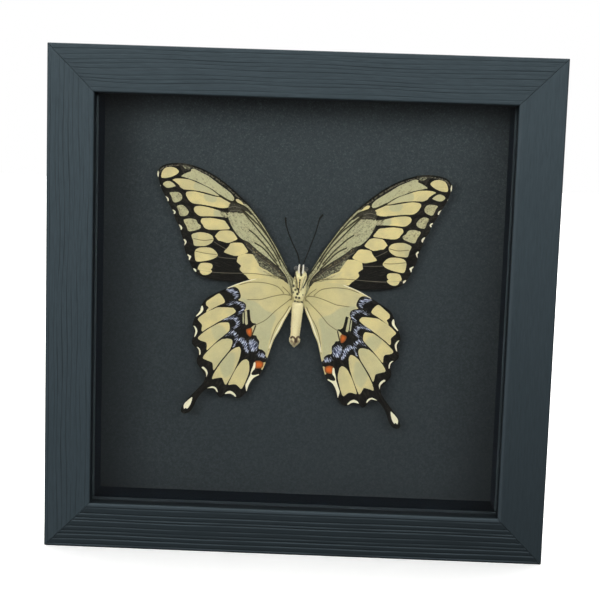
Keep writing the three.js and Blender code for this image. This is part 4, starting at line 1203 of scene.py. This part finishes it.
# %% Wing scales
def wing_scales():
    """The layered finish that both kinds of wing share: ground, cream, dust, lines, colours."""
    wing = Finish("wing_scales", roughness=0.82)
    wing.set(specular_ior_level=0.12)
    fine = wing.noise(0.28, detail=3)
    grain = wing.noise(0.55, detail=3)
    coarse = wing.noise(1.1, detail=4)
    broad = wing.noise(6.0, detail=3)
    fray = wing.math("SUBTRACT", fine, 0.5)

    def fanned(width, length, detail):
        """Noise in streaks that run out from the root, width by length millimetres."""
        across = wing.math("DIVIDE", wing.attribute("fan_turn"), width)
        along = wing.math("DIVIDE", wing.attribute("fan_away"), length)
        fan = wing.node("CombineXYZ", {"X": across, "Y": along})
        return wing.node("TexNoise", {"Vector": fan, "Scale": 1.0, "Detail": detail}, "Fac")

    def inside(depth, soft, ragged, inset=0.0):
        """1 inside a patch and 0 outside, with a soft edge frayed by fine noise."""
        frayed = wing.math("ADD", depth, wing.math("MULTIPLY", fray, ragged))
        return wing.step(frayed, inset - soft, inset + soft)

    def speckled(amount):
        """Scattered scales that grow denser with amount: noise above a falling threshold."""
        threshold = wing.math("SUBTRACT", 1.0, amount)
        scales = wing.math("ADD", wing.math("MULTIPLY", grain, 0.6),
                           wing.math("MULTIPLY", streaks, 0.4))
        return wing.step(wing.math("SUBTRACT", scales, threshold), -0.16, 0.20)

    def drawn(kind, half_width, soft):
        """1 on the lines of a kind and 0 beside them, from the signed distance to the line."""
        side = wing.math("ABSOLUTE", wing.attribute(f"{kind}_side"))
        on_line = wing.step(side, half_width - soft, half_width + soft, 1.0, 0.0)
        close = wing.step(wing.attribute(f"{kind}_near"), 0.45, 0.7, 1.0, 0.0)
        return wing.math("MULTIPLY", on_line, close)

    def layer(below, amount, strength, tone):
        """A tone laid over the colours below it."""
        return wing.mix(wing.math("MULTIPLY", amount, strength), below, tone)

    streaks = fanned(0.45, 3.2, 3.0)
    ground = wing.mix(coarse, rgb(0.0015, 0.0013, 0.0010), rgb(0.0085, 0.0072, 0.0052))
    ground = wing.mix(wing.step(streaks, 0.50, 0.74, 0, 0.45), ground, rgb(0.040, 0.032, 0.022))

    groups = [wing.attribute(f"cream_{group}") for group in (1, 2, 3)]
    depth = wing.math("MAXIMUM", wing.math("MAXIMUM", groups[0], groups[1]), groups[2])
    cream = wing.mix(wing.step(broad, 0.3, 0.7), rgb(0.71, 0.59, 0.27), rgb(0.565, 0.48, 0.243))
    by_root = wing.step(wing.attribute("fan_away"), 5, 17, 0.5, 0)
    cream = wing.mix(by_root, cream, rgb(0.52, 0.43, 0.17))
    grey = wing.mix(coarse, rgb(0.37, 0.365, 0.225), rgb(0.475, 0.46, 0.285))
    cream = wing.mix(wing.attribute("greyness"), cream, grey)
    cream = wing.mix(wing.step(streaks, 0.52, 0.72, 0, 0.28), cream, rgb(0.46, 0.40, 0.22))
    colour = wing.mix(inside(depth, 0.10, 0.30, 0.04), ground, cream)

    edge = wing.attribute("edge_near")
    streak = wing.math("MULTIPLY", wing.step(edge, 0.55, 0.7), wing.step(edge, 1.05, 1.3, 1, 0))
    lit = wing.math("MULTIPLY", streak, wing.step(grain, 0.40, 0.60))
    colour = layer(colour, lit, 0.55, rgb(0.24, 0.215, 0.15))

    dust = speckled(wing.attribute("dusting"))
    colour = wing.mix(dust, colour, rgb(0.036, 0.032, 0.023))
    colour = layer(colour, drawn("pale", 0.10, 0.10), 0.50, rgb(0.25, 0.225, 0.16))
    colour = layer(colour, drawn("vein", 0.16, 0.11), 0.82, rgb(0.090, 0.072, 0.026))
    colour = layer(colour, drawn("line", 0.28, 0.10), 0.95, rgb(0.020, 0.017, 0.006))

    blue_depth = wing.attribute("blue")
    brushed = fanned(0.28, 2.0, 2.0)
    blue = wing.mix(wing.step(brushed, 0.44, 0.66), rgb(0.045, 0.055, 0.11), rgb(0.70, 0.75, 0.92))
    ragged = wing.math("ADD", wing.math("MULTIPLY", wing.math("SUBTRACT", brushed, 0.5), 3.6),
                       wing.math("MULTIPLY", fray, 1.0))
    blue_inside = wing.step(wing.math("ADD", blue_depth, ragged), -0.30, 0.75)
    near_blue = wing.step(blue_depth, -0.9, -0.2)
    blue_inside = wing.math("MULTIPLY", blue_inside, near_blue)
    colour = layer(colour, blue_inside, 0.95, blue)
    orange_depth = wing.attribute("orange")
    orange = wing.mix(wing.step(orange_depth, 0.1, 1.2), rgb(0.24, 0.075, 0.018),
                      rgb(0.62, 0.125, 0.016))
    colour = wing.mix(inside(orange_depth, 0.14, 0.4), colour, orange)
    white = wing.mix(coarse, rgb(0.76, 0.70, 0.47), rgb(0.90, 0.85, 0.64))
    colour = wing.mix(inside(wing.attribute("white"), 0.10, 0.22, 0.07), colour, white)

    wing.set(base_color=colour)
    wing.set(roughness=wing.step(fine, 0.2, 0.8, 0.72, 0.92))
    height = wing.math("ADD", wing.math("MULTIPLY", fine, 0.6), wing.math("MULTIPLY", coarse, 0.4))
    wing.bump(height, 0.05, 0.55)
    return wing


wing_finish = wing_scales()
print("wing finish nodes:", len(wing_finish.tree.nodes))

# %% [markdown]
# ## Wing relief
#
# The sheet isn't flat. It bows a little towards the glass, it is pleated between the veins
# like a fan, and the veins themselves stand up as fine ridges. One height formula serves all
# four wings, so the hindwing stays clear of the forewing that it overlaps.

# %% Raising the wings
WING_SHEET = 0.16
BOW, BOW_REACH = 0.9, 60
PLEAT, PLEAT_REACH = 0.17, 30
PLEAT_COUNT = 15
RIDGE = 0.13
RIDGE_WIDTH = 0.34
BACK_RIDGE = 0.4
# The left wings were drawn; the right ones are their mirror images, moved a little.
RIGHT_FOREWING = {"turn": 2.0, "scale": 1.0127, "x": -2.66, "z": -0.42}
RIGHT_HINDWING = {"turn": 4.14, "scale": 1.0, "x": -1.89, "z": 0.07}


def wing_relief(grid, ridges):
    """How far each point stands forward: a bow growing with distance, fan pleats and veins."""
    away = grid - WING_ROOT
    distance = np.linalg.norm(away, axis=-1)
    angle = np.arctan2(away[..., 1], -away[..., 0])
    bow = BOW * (distance / BOW_REACH) ** 2
    pleat = PLEAT * np.clip(distance / PLEAT_REACH, 0, 1) * np.sin(PLEAT_COUNT * angle)
    near = line_distance(grid.reshape(-1, 2), ridges)[0].reshape(distance.shape)
    vein = RIDGE * np.exp(-(near / RIDGE_WIDTH) ** 2)
    return bow + pleat, vein


def placed(grid, place):
    """The left wing as it is, or mirrored, scaled, turned and shifted to the right."""
    x, z = grid[..., 0], grid[..., 1]
    if place is None:
        return x, z
    turn = radians(place["turn"])
    x, z = -x * place["scale"], z * place["scale"]
    return (x * cos(turn) + z * sin(turn) + place["x"], z * cos(turn) - x * sin(turn) + place["z"])


def two_layers(front, back):
    """A closed sheet: the front grid, the back grid, and a wall joining their rims."""
    rows, columns = front.shape[:2]
    count = rows * columns
    index = np.arange(count).reshape(rows, columns)
    rim = np.concatenate([index[0], index[1:, -1], index[-1, -2::-1], index[-2:0:-1, 0]])
    after = np.roll(rim, -1)
    quads = grid_faces(rows, columns)
    walls = np.stack([rim, after, after + count, rim + count], axis=-1)
    faces = np.concatenate([quads, quads[:, ::-1] + count, walls])
    return np.concatenate([front.reshape(-1, 3), back.reshape(-1, 3)]), faces.tolist()


def add_wing(node, grid, values, ridges, place=None):
    """A wing in place of its node: its sheet lies in the node's middle and follows the relief."""
    front_depth, back_depth = node_depths(node)
    swell, vein = wing_relief(grid, ridges)
    x, z = placed(grid, place)
    middle = (front_depth + back_depth) / 2 - swell
    front = laid(x, middle - WING_SHEET / 2 - vein, z)
    back = laid(x, middle + WING_SHEET / 2 - vein * BACK_RIDGE, z)
    points, faces = two_layers(front, back)
    both = {key: np.tile(numbers, 2) for key, numbers in values.items()}
    return add_piece(f"{node}_sheet", points, faces, wing_finish, [node], both)


add_wing("forewing_left", forewing_grid, forewing_values, FOREWING_RIDGES)
add_wing("forewing_right", forewing_grid, forewing_values, FOREWING_RIDGES, RIGHT_FOREWING)
add_wing("hindwing_left", hindwing_grid, hindwing_values, HINDWING_RIDGES)
add_wing("hindwing_right", hindwing_grid, hindwing_values, HINDWING_RIDGES, RIGHT_HINDWING)

# %% [markdown]
# ## The body
#
# Seen from below, the body is a furry thorax with the legs folded along it, a banded abdomen
# and a small head with two white palps between the eyes. Each part is a profile turned about
# the body's axis, flattened a little, and then covered with short tapering hairs that lie
# towards the tail. The hairs are few-sided spikes joined to the part's own mesh.

# %% Body directions
BODY_X = -1.06
BODY_TURN = radians(3.5)
BODY_DEPTH = 20.2


def on_front(across, along):
    """A place across and along the body's axis, which leans to the right, as x and z in mm."""
    x = BODY_X + across * cos(BODY_TURN) + along * sin(BODY_TURN)
    z = along * cos(BODY_TURN) - across * sin(BODY_TURN)
    return np.stack(np.broadcast_arrays(x, z), axis=-1)


def on_body(across, depth, along):
    """The same place at a depth, as model metres."""
    x, z = np.moveaxis(on_front(across, along), -1, 0)
    return laid(x, depth, z)


# Dark marks on the underside: x, z, radius, strength.
BODY_SPOTS = [
    (-0.6, 9.5, 0.42, 1.3), (-3.2, 6.9, 0.62, 1.1), (-2.3, 5.4, 0.50, 0.9), (-3.2, 4.2, 0.50, 1.0),
    (-1.4, 3.7, 0.44, 1.8), (-1.9, 2.3, 0.42, 1.8), (-0.6, 2.1, 0.40, 1.8), (0.8, 3.4, 0.40, 0.6),
    (-2.3, 0.7, 0.40, 0.9), (-1.3, 0.4, 0.36, 0.9), (0.2, 0.4, 0.36, 0.9), (1.2, 0.7, 0.40, 0.9),
    (-3.3, 1.9, 0.45, 0.9), (1.5, 2.2, 0.36, 0.8), (-0.6, 0.3, 0.30, 0.7),
    (-2.1, -17.2, 0.90, 0.52), (-3.2, -16.0, 0.80, 0.52), (-0.7, -16.1, 0.80, 0.52),
]
# Dark strokes: strength, half width, and the line.
BODY_STROKES = [
    (1.60, 0.42, [(-0.5, 16.2), (-0.3, 14.6), (-0.2, 13.2), (-0.1, 12.2), (-0.1, 11.5)]),
    (1.25, 0.36, [(-0.6, 8.6), (-0.6, 6.8), (-0.6, 5.6)]),
    (0.90, 0.50, [(-0.7, 5.8), (-0.8, 4.6)]),
    (1.05, 0.60, [(-2.8, 12.0), (-2.6, 10.8), (-2.3, 9.6), (-1.8, 7.8), (-1.4, 6.2)]),
    (0.45, 0.34, [(1.6, 11.0), (0.9, 9.0), (0.5, 7.2), (0.2, 5.6)]),
    (1.30, 0.36, [(-3.5, -14.7), (-2.9, -14.25), (-2.2, -14.5), (-1.75, -15.2), (-1.5, -16.2)]),
    (1.30, 0.36, [(0.1, -14.7), (-0.3, -14.2), (-0.9, -14.4), (-1.2, -15.2), (-1.5, -16.2)]),
]


def body_shade(places):
    """The strength of the dark marks at each place: the sum of soft round spots and strokes."""
    points = places.reshape(-1, 2)
    shade = np.zeros(len(points))
    for x, z, radius, strength in BODY_SPOTS:
        distance = np.hypot(points[:, 0] - x, points[:, 1] - z)
        shade = shade + strength * np.exp(-(distance / radius) ** 2)
    for strength, half_width, line in BODY_STROKES:
        shade = shade + strength * np.exp(-(line_distance(points, [line])[0] / half_width) ** 2)
    return np.clip(shade, 0, 1).reshape(places.shape[:-1])


print("marks on the body:", len(BODY_SPOTS))

# %% Hairs
SPIKE_POINTS = 7
SPIKE_WAIST = 0.36


def spikes(roots, directions, lengths, width, bend):
    """Three-sided tapering spikes: a base ring, a thinner bent ring half way, and a point."""
    count = len(roots)
    directions = directions / np.linalg.norm(directions, axis=1, keepdims=True)
    side = np.cross(directions, np.array([0.3, 0.5, 0.8]))
    side /= np.linalg.norm(side, axis=1, keepdims=True)
    other = np.cross(directions, side)
    angle = np.arange(3) * 2 * pi / 3
    ring = side[:, None, :] * np.cos(angle)[:, None] + other[:, None, :] * np.sin(angle)[:, None]
    reach = directions * lengths[:, None]
    base = roots[:, None, :] + ring * width / 2
    half = (roots + reach * 0.5 + bend * 0.25)[:, None, :] + ring * width * SPIKE_WAIST
    tip = (roots + reach + bend)[:, None, :]
    points = np.concatenate([base, half, tip], axis=1)
    quads = np.array([[0, 1, 4, 3], [1, 2, 5, 4], [2, 0, 3, 5]])
    tops = np.array([[3, 4, 6], [4, 5, 6], [5, 3, 6], [2, 1, 0]])
    starts = np.arange(count)[:, None, None] * SPIKE_POINTS
    sides = (quads[None] + starts).reshape(-1, 4).tolist()
    ends = (tops[None] + starts).reshape(-1, 3).tolist()
    return points, sides + ends


def each_hair(numbers):
    """A number for each hair, repeated for the points of its spike."""
    return np.repeat(numbers, SPIKE_POINTS)


def skin_faces(rings):
    """The quads of a surface that closes round, from its rows and columns of points."""
    return grid_faces(*rings.shape[:2], round_it=True).tolist()


TURNED_ROWS, TURNED_COLUMNS = 90, 80


def turned(profile, slim, flatten, dent):
    """A profile turned about the body's axis: rows along it, columns round it."""
    rows, columns = TURNED_ROWS, TURNED_COLUMNS
    curve = through(profile, steps=8)
    curve = at_lengths(curve, np.linspace(0, lengths_along(curve)[-1], rows))
    radius, along = np.clip(curve[:, :1], 0, None), curve[:, 1:]
    angle = np.arange(columns)[None, :] * 2 * pi / columns
    radius = radius * (1 + dent(along, angle))
    across = slim * radius * np.cos(angle)
    depth = BODY_DEPTH - flatten * radius * np.sin(angle)
    return across, depth, along * np.ones_like(angle), angle * np.ones_like(along)


def furry_part(name, node, shape, coat, finish, seed):
    """A turned part with hairs on the half that faces the glass and on its sides."""
    across, depth, along, angle = turned(*shape)
    rows, columns = across.shape
    surface = on_body(across, depth, along)
    shade = body_shade(on_front(across, along))
    hairs = coat["hairs"]
    random = np.random.default_rng(seed)
    row = random.uniform(1, rows - 2, hairs)
    column = random.uniform(-0.08, 0.58, hairs) * columns
    low_row, low_column = row.astype(int), np.floor(column).astype(int) % columns
    roots = surface[low_row, low_column] / MM + random.uniform(-0.08, 0.08, (hairs, 3))
    turn = angle[low_row, low_column]
    outward = np.stack([np.cos(turn), -np.sin(turn), np.zeros(hairs)], axis=-1)
    tailward = np.array([-sin(BODY_TURN), 0, -cos(BODY_TURN)])
    direction = outward * coat["lift"] + tailward + random.normal(0, 0.28, (hairs, 3))
    lengths = coat["length"] * random.uniform(0.55, 1.25, hairs)
    bend = tailward * 0.15 * lengths[:, None] - outward * 0.1 * lengths[:, None]
    points, faces = spikes(roots, direction, lengths, coat["width"], bend)
    skin = (surface, skin_faces(surface), {"shade": shade.ravel(), "tint": 0.5})
    fur = (points * MM, faces, {"shade": each_hair(shade[low_row, low_column]),
                                "tint": each_hair(random.uniform(0, 1, hairs))})
    points, faces, values = joined(skin, fur)
    return add_piece(name, points, faces, finish, [node], values)


# %% Body scales and cuticle
def furred(name, pale, bright, dark, soiled):
    """Cream hair, a little brown between the tufts; as shade rises it goes soiled, then dark."""
    fur = Finish(name, roughness=0.85)
    fur.set(specular_ior_level=0.25, sheen_weight=0.15, sheen_roughness=0.5)
    fine = fur.noise(0.16, detail=3, stretch=(1, 1, 3))
    clumps = fur.noise(0.7, detail=3, stretch=(1, 1, 1.8))
    colour = fur.mix(fur.step(fur.attribute("tint"), 0.1, 0.9), pale, bright)
    colour = fur.mix(fur.step(clumps, 0.54, 0.78, 0, 0.20), colour, rgb(0.56, 0.46, 0.23))
    frayed = fur.math("ADD", fur.attribute("shade"), fur.math("MULTIPLY", fine, 0.35))
    colour = fur.mix(fur.step(frayed, 0.35, 0.70, 0, 0.80), colour, soiled)
    colour = fur.mix(fur.step(frayed, 0.70, 1.05, 0, 0.95), colour, dark)
    fur.set(base_color=colour)
    fur.bump(fine, 0.05, 0.6)
    return fur


thorax_fur = furred("thorax_fur", rgb(0.95, 0.84, 0.45), rgb(0.99, 0.94, 0.60),
                    rgb(0.022, 0.017, 0.008), rgb(0.20, 0.165, 0.06))
abdomen_fur = furred("abdomen_fur", rgb(0.84, 0.72, 0.39), rgb(0.97, 0.89, 0.58),
                     rgb(0.060, 0.028, 0.013), rgb(0.28, 0.17, 0.085))
leg_fur = furred("leg_fur", rgb(0.80, 0.68, 0.34), rgb(0.95, 0.84, 0.48),
                 rgb(0.030, 0.024, 0.010), rgb(0.22, 0.18, 0.07))
palp_fur = furred("palp_fur", rgb(0.84, 0.79, 0.62), rgb(0.98, 0.95, 0.84),
                  rgb(0.08, 0.07, 0.05), rgb(0.30, 0.27, 0.18))

cuticle = Finish("dark_cuticle", roughness=0.75, specular_ior_level=0.15)
grain = cuticle.noise(0.3, detail=4)
cuticle.set(base_color=cuticle.mix(grain, rgb(0.004, 0.0035, 0.003), rgb(0.012, 0.010, 0.008)))
cuticle.bump(grain, 0.02, 0.5)

eye_finish = Finish("eye", roughness=0.3)
facets = eye_finish.node("TexVoronoi", {"Vector": eye_finish.place, "Scale": 11.0}, "Distance")
eye_finish.set(base_color=eye_finish.mix(facets, rgb(0.130, 0.128, 0.122),
                                         rgb(0.055, 0.054, 0.052)))
eye_finish.bump(facets, 0.02, 0.6)
print("body finishes:", [m.name for m in bpy.data.materials if "fur" in m.name])

# %% Thorax and abdomen
THORAX_PROFILE = [(0, 0.3), (1.7, 0.6), (2.5, 1.9), (3.1, 4), (3.35, 6.5), (3.15, 9), (3.05, 11),
                  (2.75, 12.2), (1.6, 12.9), (0, 13)]
ABDOMEN_PROFILE = [(0, -18.6), (0.8, -17.9), (1.65, -17), (2.15, -16), (2.12, -15), (1.85, -14),
                   (1.8, -13), (1.95, -10), (2.12, -6), (2.28, -2.5), (2.2, -0.6), (1.4, -0.1), (0, 0)]
THORAX_SLIM, THORAX_FLATTEN = 0.82, 0.86
ABDOMEN_FLATTEN = 0.96
THORAX_COAT = {"hairs": 4800, "length": 0.44, "width": 0.085, "lift": 0.08}
ABDOMEN_COAT = {"hairs": 4200, "length": 0.50, "width": 0.07, "lift": 0.18}
SEGMENT_LENGTH = 2.35
TIP_START = -14.2


def thorax_dent(along, angle):
    """A groove down the middle of the underside, and the swell of the leg bases beside it."""
    middle = np.exp(-((angle - pi / 2) / 0.22) ** 2)
    bases = np.exp(-((np.abs(angle - pi / 2) - 0.55) / 0.25) ** 2)
    return -0.10 * middle + 0.045 * bases * np.cos(along * 2 * pi / 2.9)


def abdomen_dent(along, angle):
    """Shallow steps between the segments, and a notch that parts the two claspers at the tip."""
    ring = np.abs(np.sin(pi * along / SEGMENT_LENGTH))
    steps = -0.055 * np.exp(-(ring / 0.16) ** 2) * (along > TIP_START)
    notch = np.exp(-((angle - pi / 2) / 0.30) ** 2) * np.clip((TIP_START - 0.6 - along) / 1.5, 0, 1)
    return steps - 0.42 * notch


thorax_shape = (THORAX_PROFILE, THORAX_SLIM, THORAX_FLATTEN, thorax_dent)
abdomen_shape = (ABDOMEN_PROFILE, 1.0, ABDOMEN_FLATTEN, abdomen_dent)
furry_part("thorax_fur", "thorax", thorax_shape, THORAX_COAT, thorax_fur, 3)
furry_part("abdomen_scales", "abdomen", abdomen_shape, ABDOMEN_COAT, abdomen_fur, 4)

# %% Tubes along a line
def tube(points, radius, sides=10):
    """A round tube: a ring of points about each place on the line, closed to points at its ends."""
    heading = np.gradient(points, axis=0)
    heading /= np.linalg.norm(heading, axis=1, keepdims=True)
    side = np.cross(heading, np.array([0.0, 1.0, 0.0]))
    side /= np.linalg.norm(side, axis=1, keepdims=True)
    other = np.cross(heading, side)
    angle = np.arange(sides) * 2 * pi / sides
    radius = np.asarray(radius)[:, None, None]
    ring = side[:, None, :] * np.cos(angle)[:, None] + other[:, None, :] * np.sin(angle)[:, None]
    return points[:, None, :] + ring * radius


def rounded(radius, part, end=0.04):
    """Draws a tube's radius in to nothing over its last stretch at both ends."""
    nose = np.clip(np.minimum(part, 1 - part) / end, 0, 1)
    return radius * np.sqrt(1 - (1 - nose) ** 2)


def depth_over_thorax(across, along):
    """How deep the thorax's front lies at a place, from its profile."""
    curve = through(THORAX_PROFILE, steps=8)
    radius = np.interp(along, curve[:, 1], curve[:, 0])
    rise = np.sqrt(np.clip(radius ** 2 - (across / THORAX_SLIM) ** 2, 0, None))
    return BODY_DEPTH - THORAX_FLATTEN * rise


print("thorax front, middle:", round(float(depth_over_thorax(0, 8)), 1), "mm deep")

# %% Legs
LEGS = {
    "foreleg_left": (0.0, [(-0.85, 10.8), (-0.60, 8.5), (-0.42, 6.2)]),
    "foreleg_right": (0.0, [(0.90, 10.8), (0.55, 9), (0.40, 6.6), (0.32, 4.6)]),
    "midleg_left": (0.35, [(-2.35, 10.6), (-1.85, 8.9), (-1.40, 7.2), (-1.25, 5.8)]),
    "midleg_right": (0.95, [(3.35, 11.4), (2.8, 9.9), (2.1, 8.0), (1.4, 6.2)]),
}
LEG_RADIUS = 0.27
LEG_STAND = 0.48
LEG_DEEPEST = 18.3
LEG_HAIRS = 260


def add_leg(name, darkness, route, seed):
    """A folded leg: a tube that narrows at its joints, with short hairs along it."""
    line = through(route, steps=14)
    part = lengths_along(line) / lengths_along(line)[-1]
    across, along = line.T
    depth = np.minimum(depth_over_thorax(across, along) - LEG_STAND, LEG_DEEPEST)
    centre = on_body(across, depth, along) / MM
    knee = 0.30 * np.exp(-((part - 0.5) / 0.03) ** 2)
    ankle = 0.25 * np.exp(-((part - 0.8) / 0.025) ** 2)
    radius = rounded(LEG_RADIUS * (1.15 - 0.45 * part) * (1 - knee - ankle), part)
    rings = tube(centre, radius)
    random = np.random.default_rng(seed)
    place = random.integers(2, len(centre) - 3, LEG_HAIRS)
    turn = random.integers(0, rings.shape[1], LEG_HAIRS)
    roots = rings[place, turn]
    outward = roots - centre[place]
    stray = random.normal(0, 0.2, (LEG_HAIRS, 3))
    direction = outward / LEG_RADIUS * 0.7 + np.array([0, 0, -1.0]) + stray
    lengths = random.uniform(0.25, 0.5, LEG_HAIRS)
    points, faces = spikes(roots, direction, lengths, 0.05, np.zeros((LEG_HAIRS, 3)))
    shade = darkness + 0.25 * (1 - darkness) * np.sin(part * 2 * pi * 1.5) ** 2
    sides = rings.shape[1]
    skin = (rings * MM, skin_faces(rings), {"shade": np.repeat(shade, sides), "tint": 0.4})
    fur = (points * MM, faces, {"shade": each_hair(shade[place]),
                                "tint": each_hair(turn / (sides - 1))})
    points, faces, values = joined(skin, fur)
    add_piece(f"{name}_hairy", points, faces, leg_fur, [name], values)


for seed, (name, (darkness, route)) in enumerate(LEGS.items()):
    add_leg(name, darkness, route, seed)

# %% Palps
PALP_DEPTH = 16.7
PALP_RADIUS = 0.30
PALP_HAIRS = 620
PALP_ROUTE = [(0.74, 12.2), (0.86, 13.4), (0.88, 14.8), (0.80, 15.9)]


def add_palp(side, sign, seed):
    """A short curved brush: a tapering core thick with white hairs that point forwards."""
    line = through(PALP_ROUTE, steps=12)
    part = lengths_along(line) / lengths_along(line)[-1]
    across, along = line.T
    centre = on_body(sign * across, PALP_DEPTH + 0.5 * (1 - part), along) / MM
    radius = rounded(PALP_RADIUS * (1 - 0.20 * part), part, 0.15)
    rings = tube(centre, radius)
    random = np.random.default_rng(seed)
    place = random.integers(1, len(centre) - 1, PALP_HAIRS)
    turn = random.integers(0, rings.shape[1], PALP_HAIRS)
    roots = rings[place, turn]
    stray = random.normal(0, 0.10, (PALP_HAIRS, 3))
    direction = (roots - centre[place]) * 1.2 + np.array([0, 0, 1.0]) + stray
    lengths = random.uniform(0.2, 0.4, PALP_HAIRS)
    points, faces = spikes(roots, direction, lengths, 0.06, np.zeros((PALP_HAIRS, 3)))
    skin = (rings * MM, skin_faces(rings), {"shade": 0.0, "tint": 0.8})
    fur = (points * MM, faces, {"shade": 0.0,
                                "tint": each_hair(random.uniform(0.3, 1, PALP_HAIRS))})
    points, faces, values = joined(skin, fur)
    add_piece(f"palp_{side}_brush", points, faces, palp_fur, [f"palp_{side}"],
              values)


add_palp("left", -1, 21)
add_palp("right", 1, 22)

# %% Head
HEAD = {"radius": 1.6, "along": 13.5, "depth": 19.6}
EYE = {"radius": 0.92, "across": 2.0, "along": 14.0, "depth": 18.8}
BALL_ROWS, BALL_COLUMNS = 28, 40
FACE_HAIRS = 900
SKULL_SHADE = 0.55


def ball(across, depth, along, radius, squash):
    """A ball by two angles, its poles on the body's axis; squash shortens it along the axis."""
    polar = np.linspace(0, pi, BALL_ROWS)[:, None]
    round_it = np.arange(BALL_COLUMNS)[None, :] * 2 * pi / BALL_COLUMNS
    return on_body(across + radius * np.sin(polar) * np.cos(round_it),
                   depth - radius * np.sin(polar) * np.sin(round_it),
                   along + squash * radius * np.cos(polar) * np.ones_like(round_it))


def add_head():
    """The skull with face hair is one mesh; the two eyes are balls joined to it."""
    skull = ball(0, HEAD["depth"], HEAD["along"], HEAD["radius"], 0.95)
    random = np.random.default_rng(31)
    row = random.integers(2, BALL_ROWS - 2, FACE_HAIRS)
    column = random.integers(-2, 22, FACE_HAIRS) % BALL_COLUMNS
    roots = skull[row, column] / MM
    centre = on_body(0, HEAD["depth"], HEAD["along"]) / MM
    stray = random.normal(0, 0.3, (FACE_HAIRS, 3))
    direction = (roots - centre) * 0.5 + np.array([0, 0, -0.5]) + stray
    lengths = random.uniform(0.3, 0.8, FACE_HAIRS)
    points, faces = spikes(roots, direction, lengths, 0.07, np.zeros((FACE_HAIRS, 3)))
    # darker towards the top of the head, and where the body's marks run on over the face
    upper = np.clip((roots[:, 2] - centre[2]) / 1.2, 0, 1) * 0.9
    hair_marks = np.maximum(upper, body_shade(roots[:, [0, 2]] - [0, HEIGHT / 2]))
    skin_places = (skull / MM)[..., [0, 2]] - [0, HEIGHT / 2]
    skin_marks = np.maximum(SKULL_SHADE, body_shade(skin_places).ravel())
    skin = (skull, skin_faces(skull), {"shade": skin_marks, "tint": 0.3})
    fur = (points * MM, faces, {"shade": each_hair(hair_marks),
                                "tint": each_hair(random.uniform(0, 1, FACE_HAIRS))})
    points, faces, values = joined(skin, fur)
    add_piece("head_face", points, faces, thorax_fur, ["head"], values)
    for name, sign in (("left", -1), ("right", 1)):
        eye = ball(sign * EYE["across"], EYE["depth"], EYE["along"], EYE["radius"], 1.05)
        add_piece(f"eye_{name}", eye, skin_faces(eye), eye_finish, ["head"])


add_head()

# %% Antennae
ANTENNAE = {
    "left": [(-1.05, 16, 19), (-1.3, 18, 19.3), (-1.9, 20, 19.6), (-2.9, 22, 19.9), (-4, 24, 20.2),
             (-4.9, 26, 20.5), (-5.8, 28, 20.8), (-6.5, 30, 21), (-7.1, 32, 21.1), (-7.3, 34.7, 21.2)],
    "right": [(0.65, 16, 19), (1.35, 18, 19.3), (2.1, 20, 19.6), (2.8, 22, 19.9), (3.5, 24, 20.2),
              (4.2, 26, 20.5), (4.9, 28, 20.8), (5.5, 30, 21), (6.1, 32.5, 21.1), (6.7, 34.6, 21.2),
              (8, 36.3, 21.3)],
}
ANTENNA_RADIUS = 0.22
CLUB_RADIUS = 0.40
ANTENNA_RINGS = 42


def add_antenna(side, route):
    """A thread of short segments that swells into a club near its end."""
    line = through(route, steps=30)
    even = np.linspace(0, lengths_along(line)[-1], ANTENNA_RINGS * 6)
    x, z, depth = at_lengths(line, even).T
    part = even / even[-1]
    swell = np.clip((part - 0.84) / 0.09, 0, 1)
    swell = swell * swell * (3 - 2 * swell)
    bead = 1 - 0.22 * np.cos(part * ANTENNA_RINGS * 2 * pi)
    radius = rounded((ANTENNA_RADIUS + (CLUB_RADIUS - ANTENNA_RADIUS) * swell) * bead, part, 0.012)
    rings = tube(laid(x, depth, z) / MM, radius, 9)
    add_piece(f"antenna_{side}_thread", rings * MM, skin_faces(rings), cuticle,
              [f"antenna_{side}"])


for side, route in ANTENNAE.items():
    add_antenna(side, route)
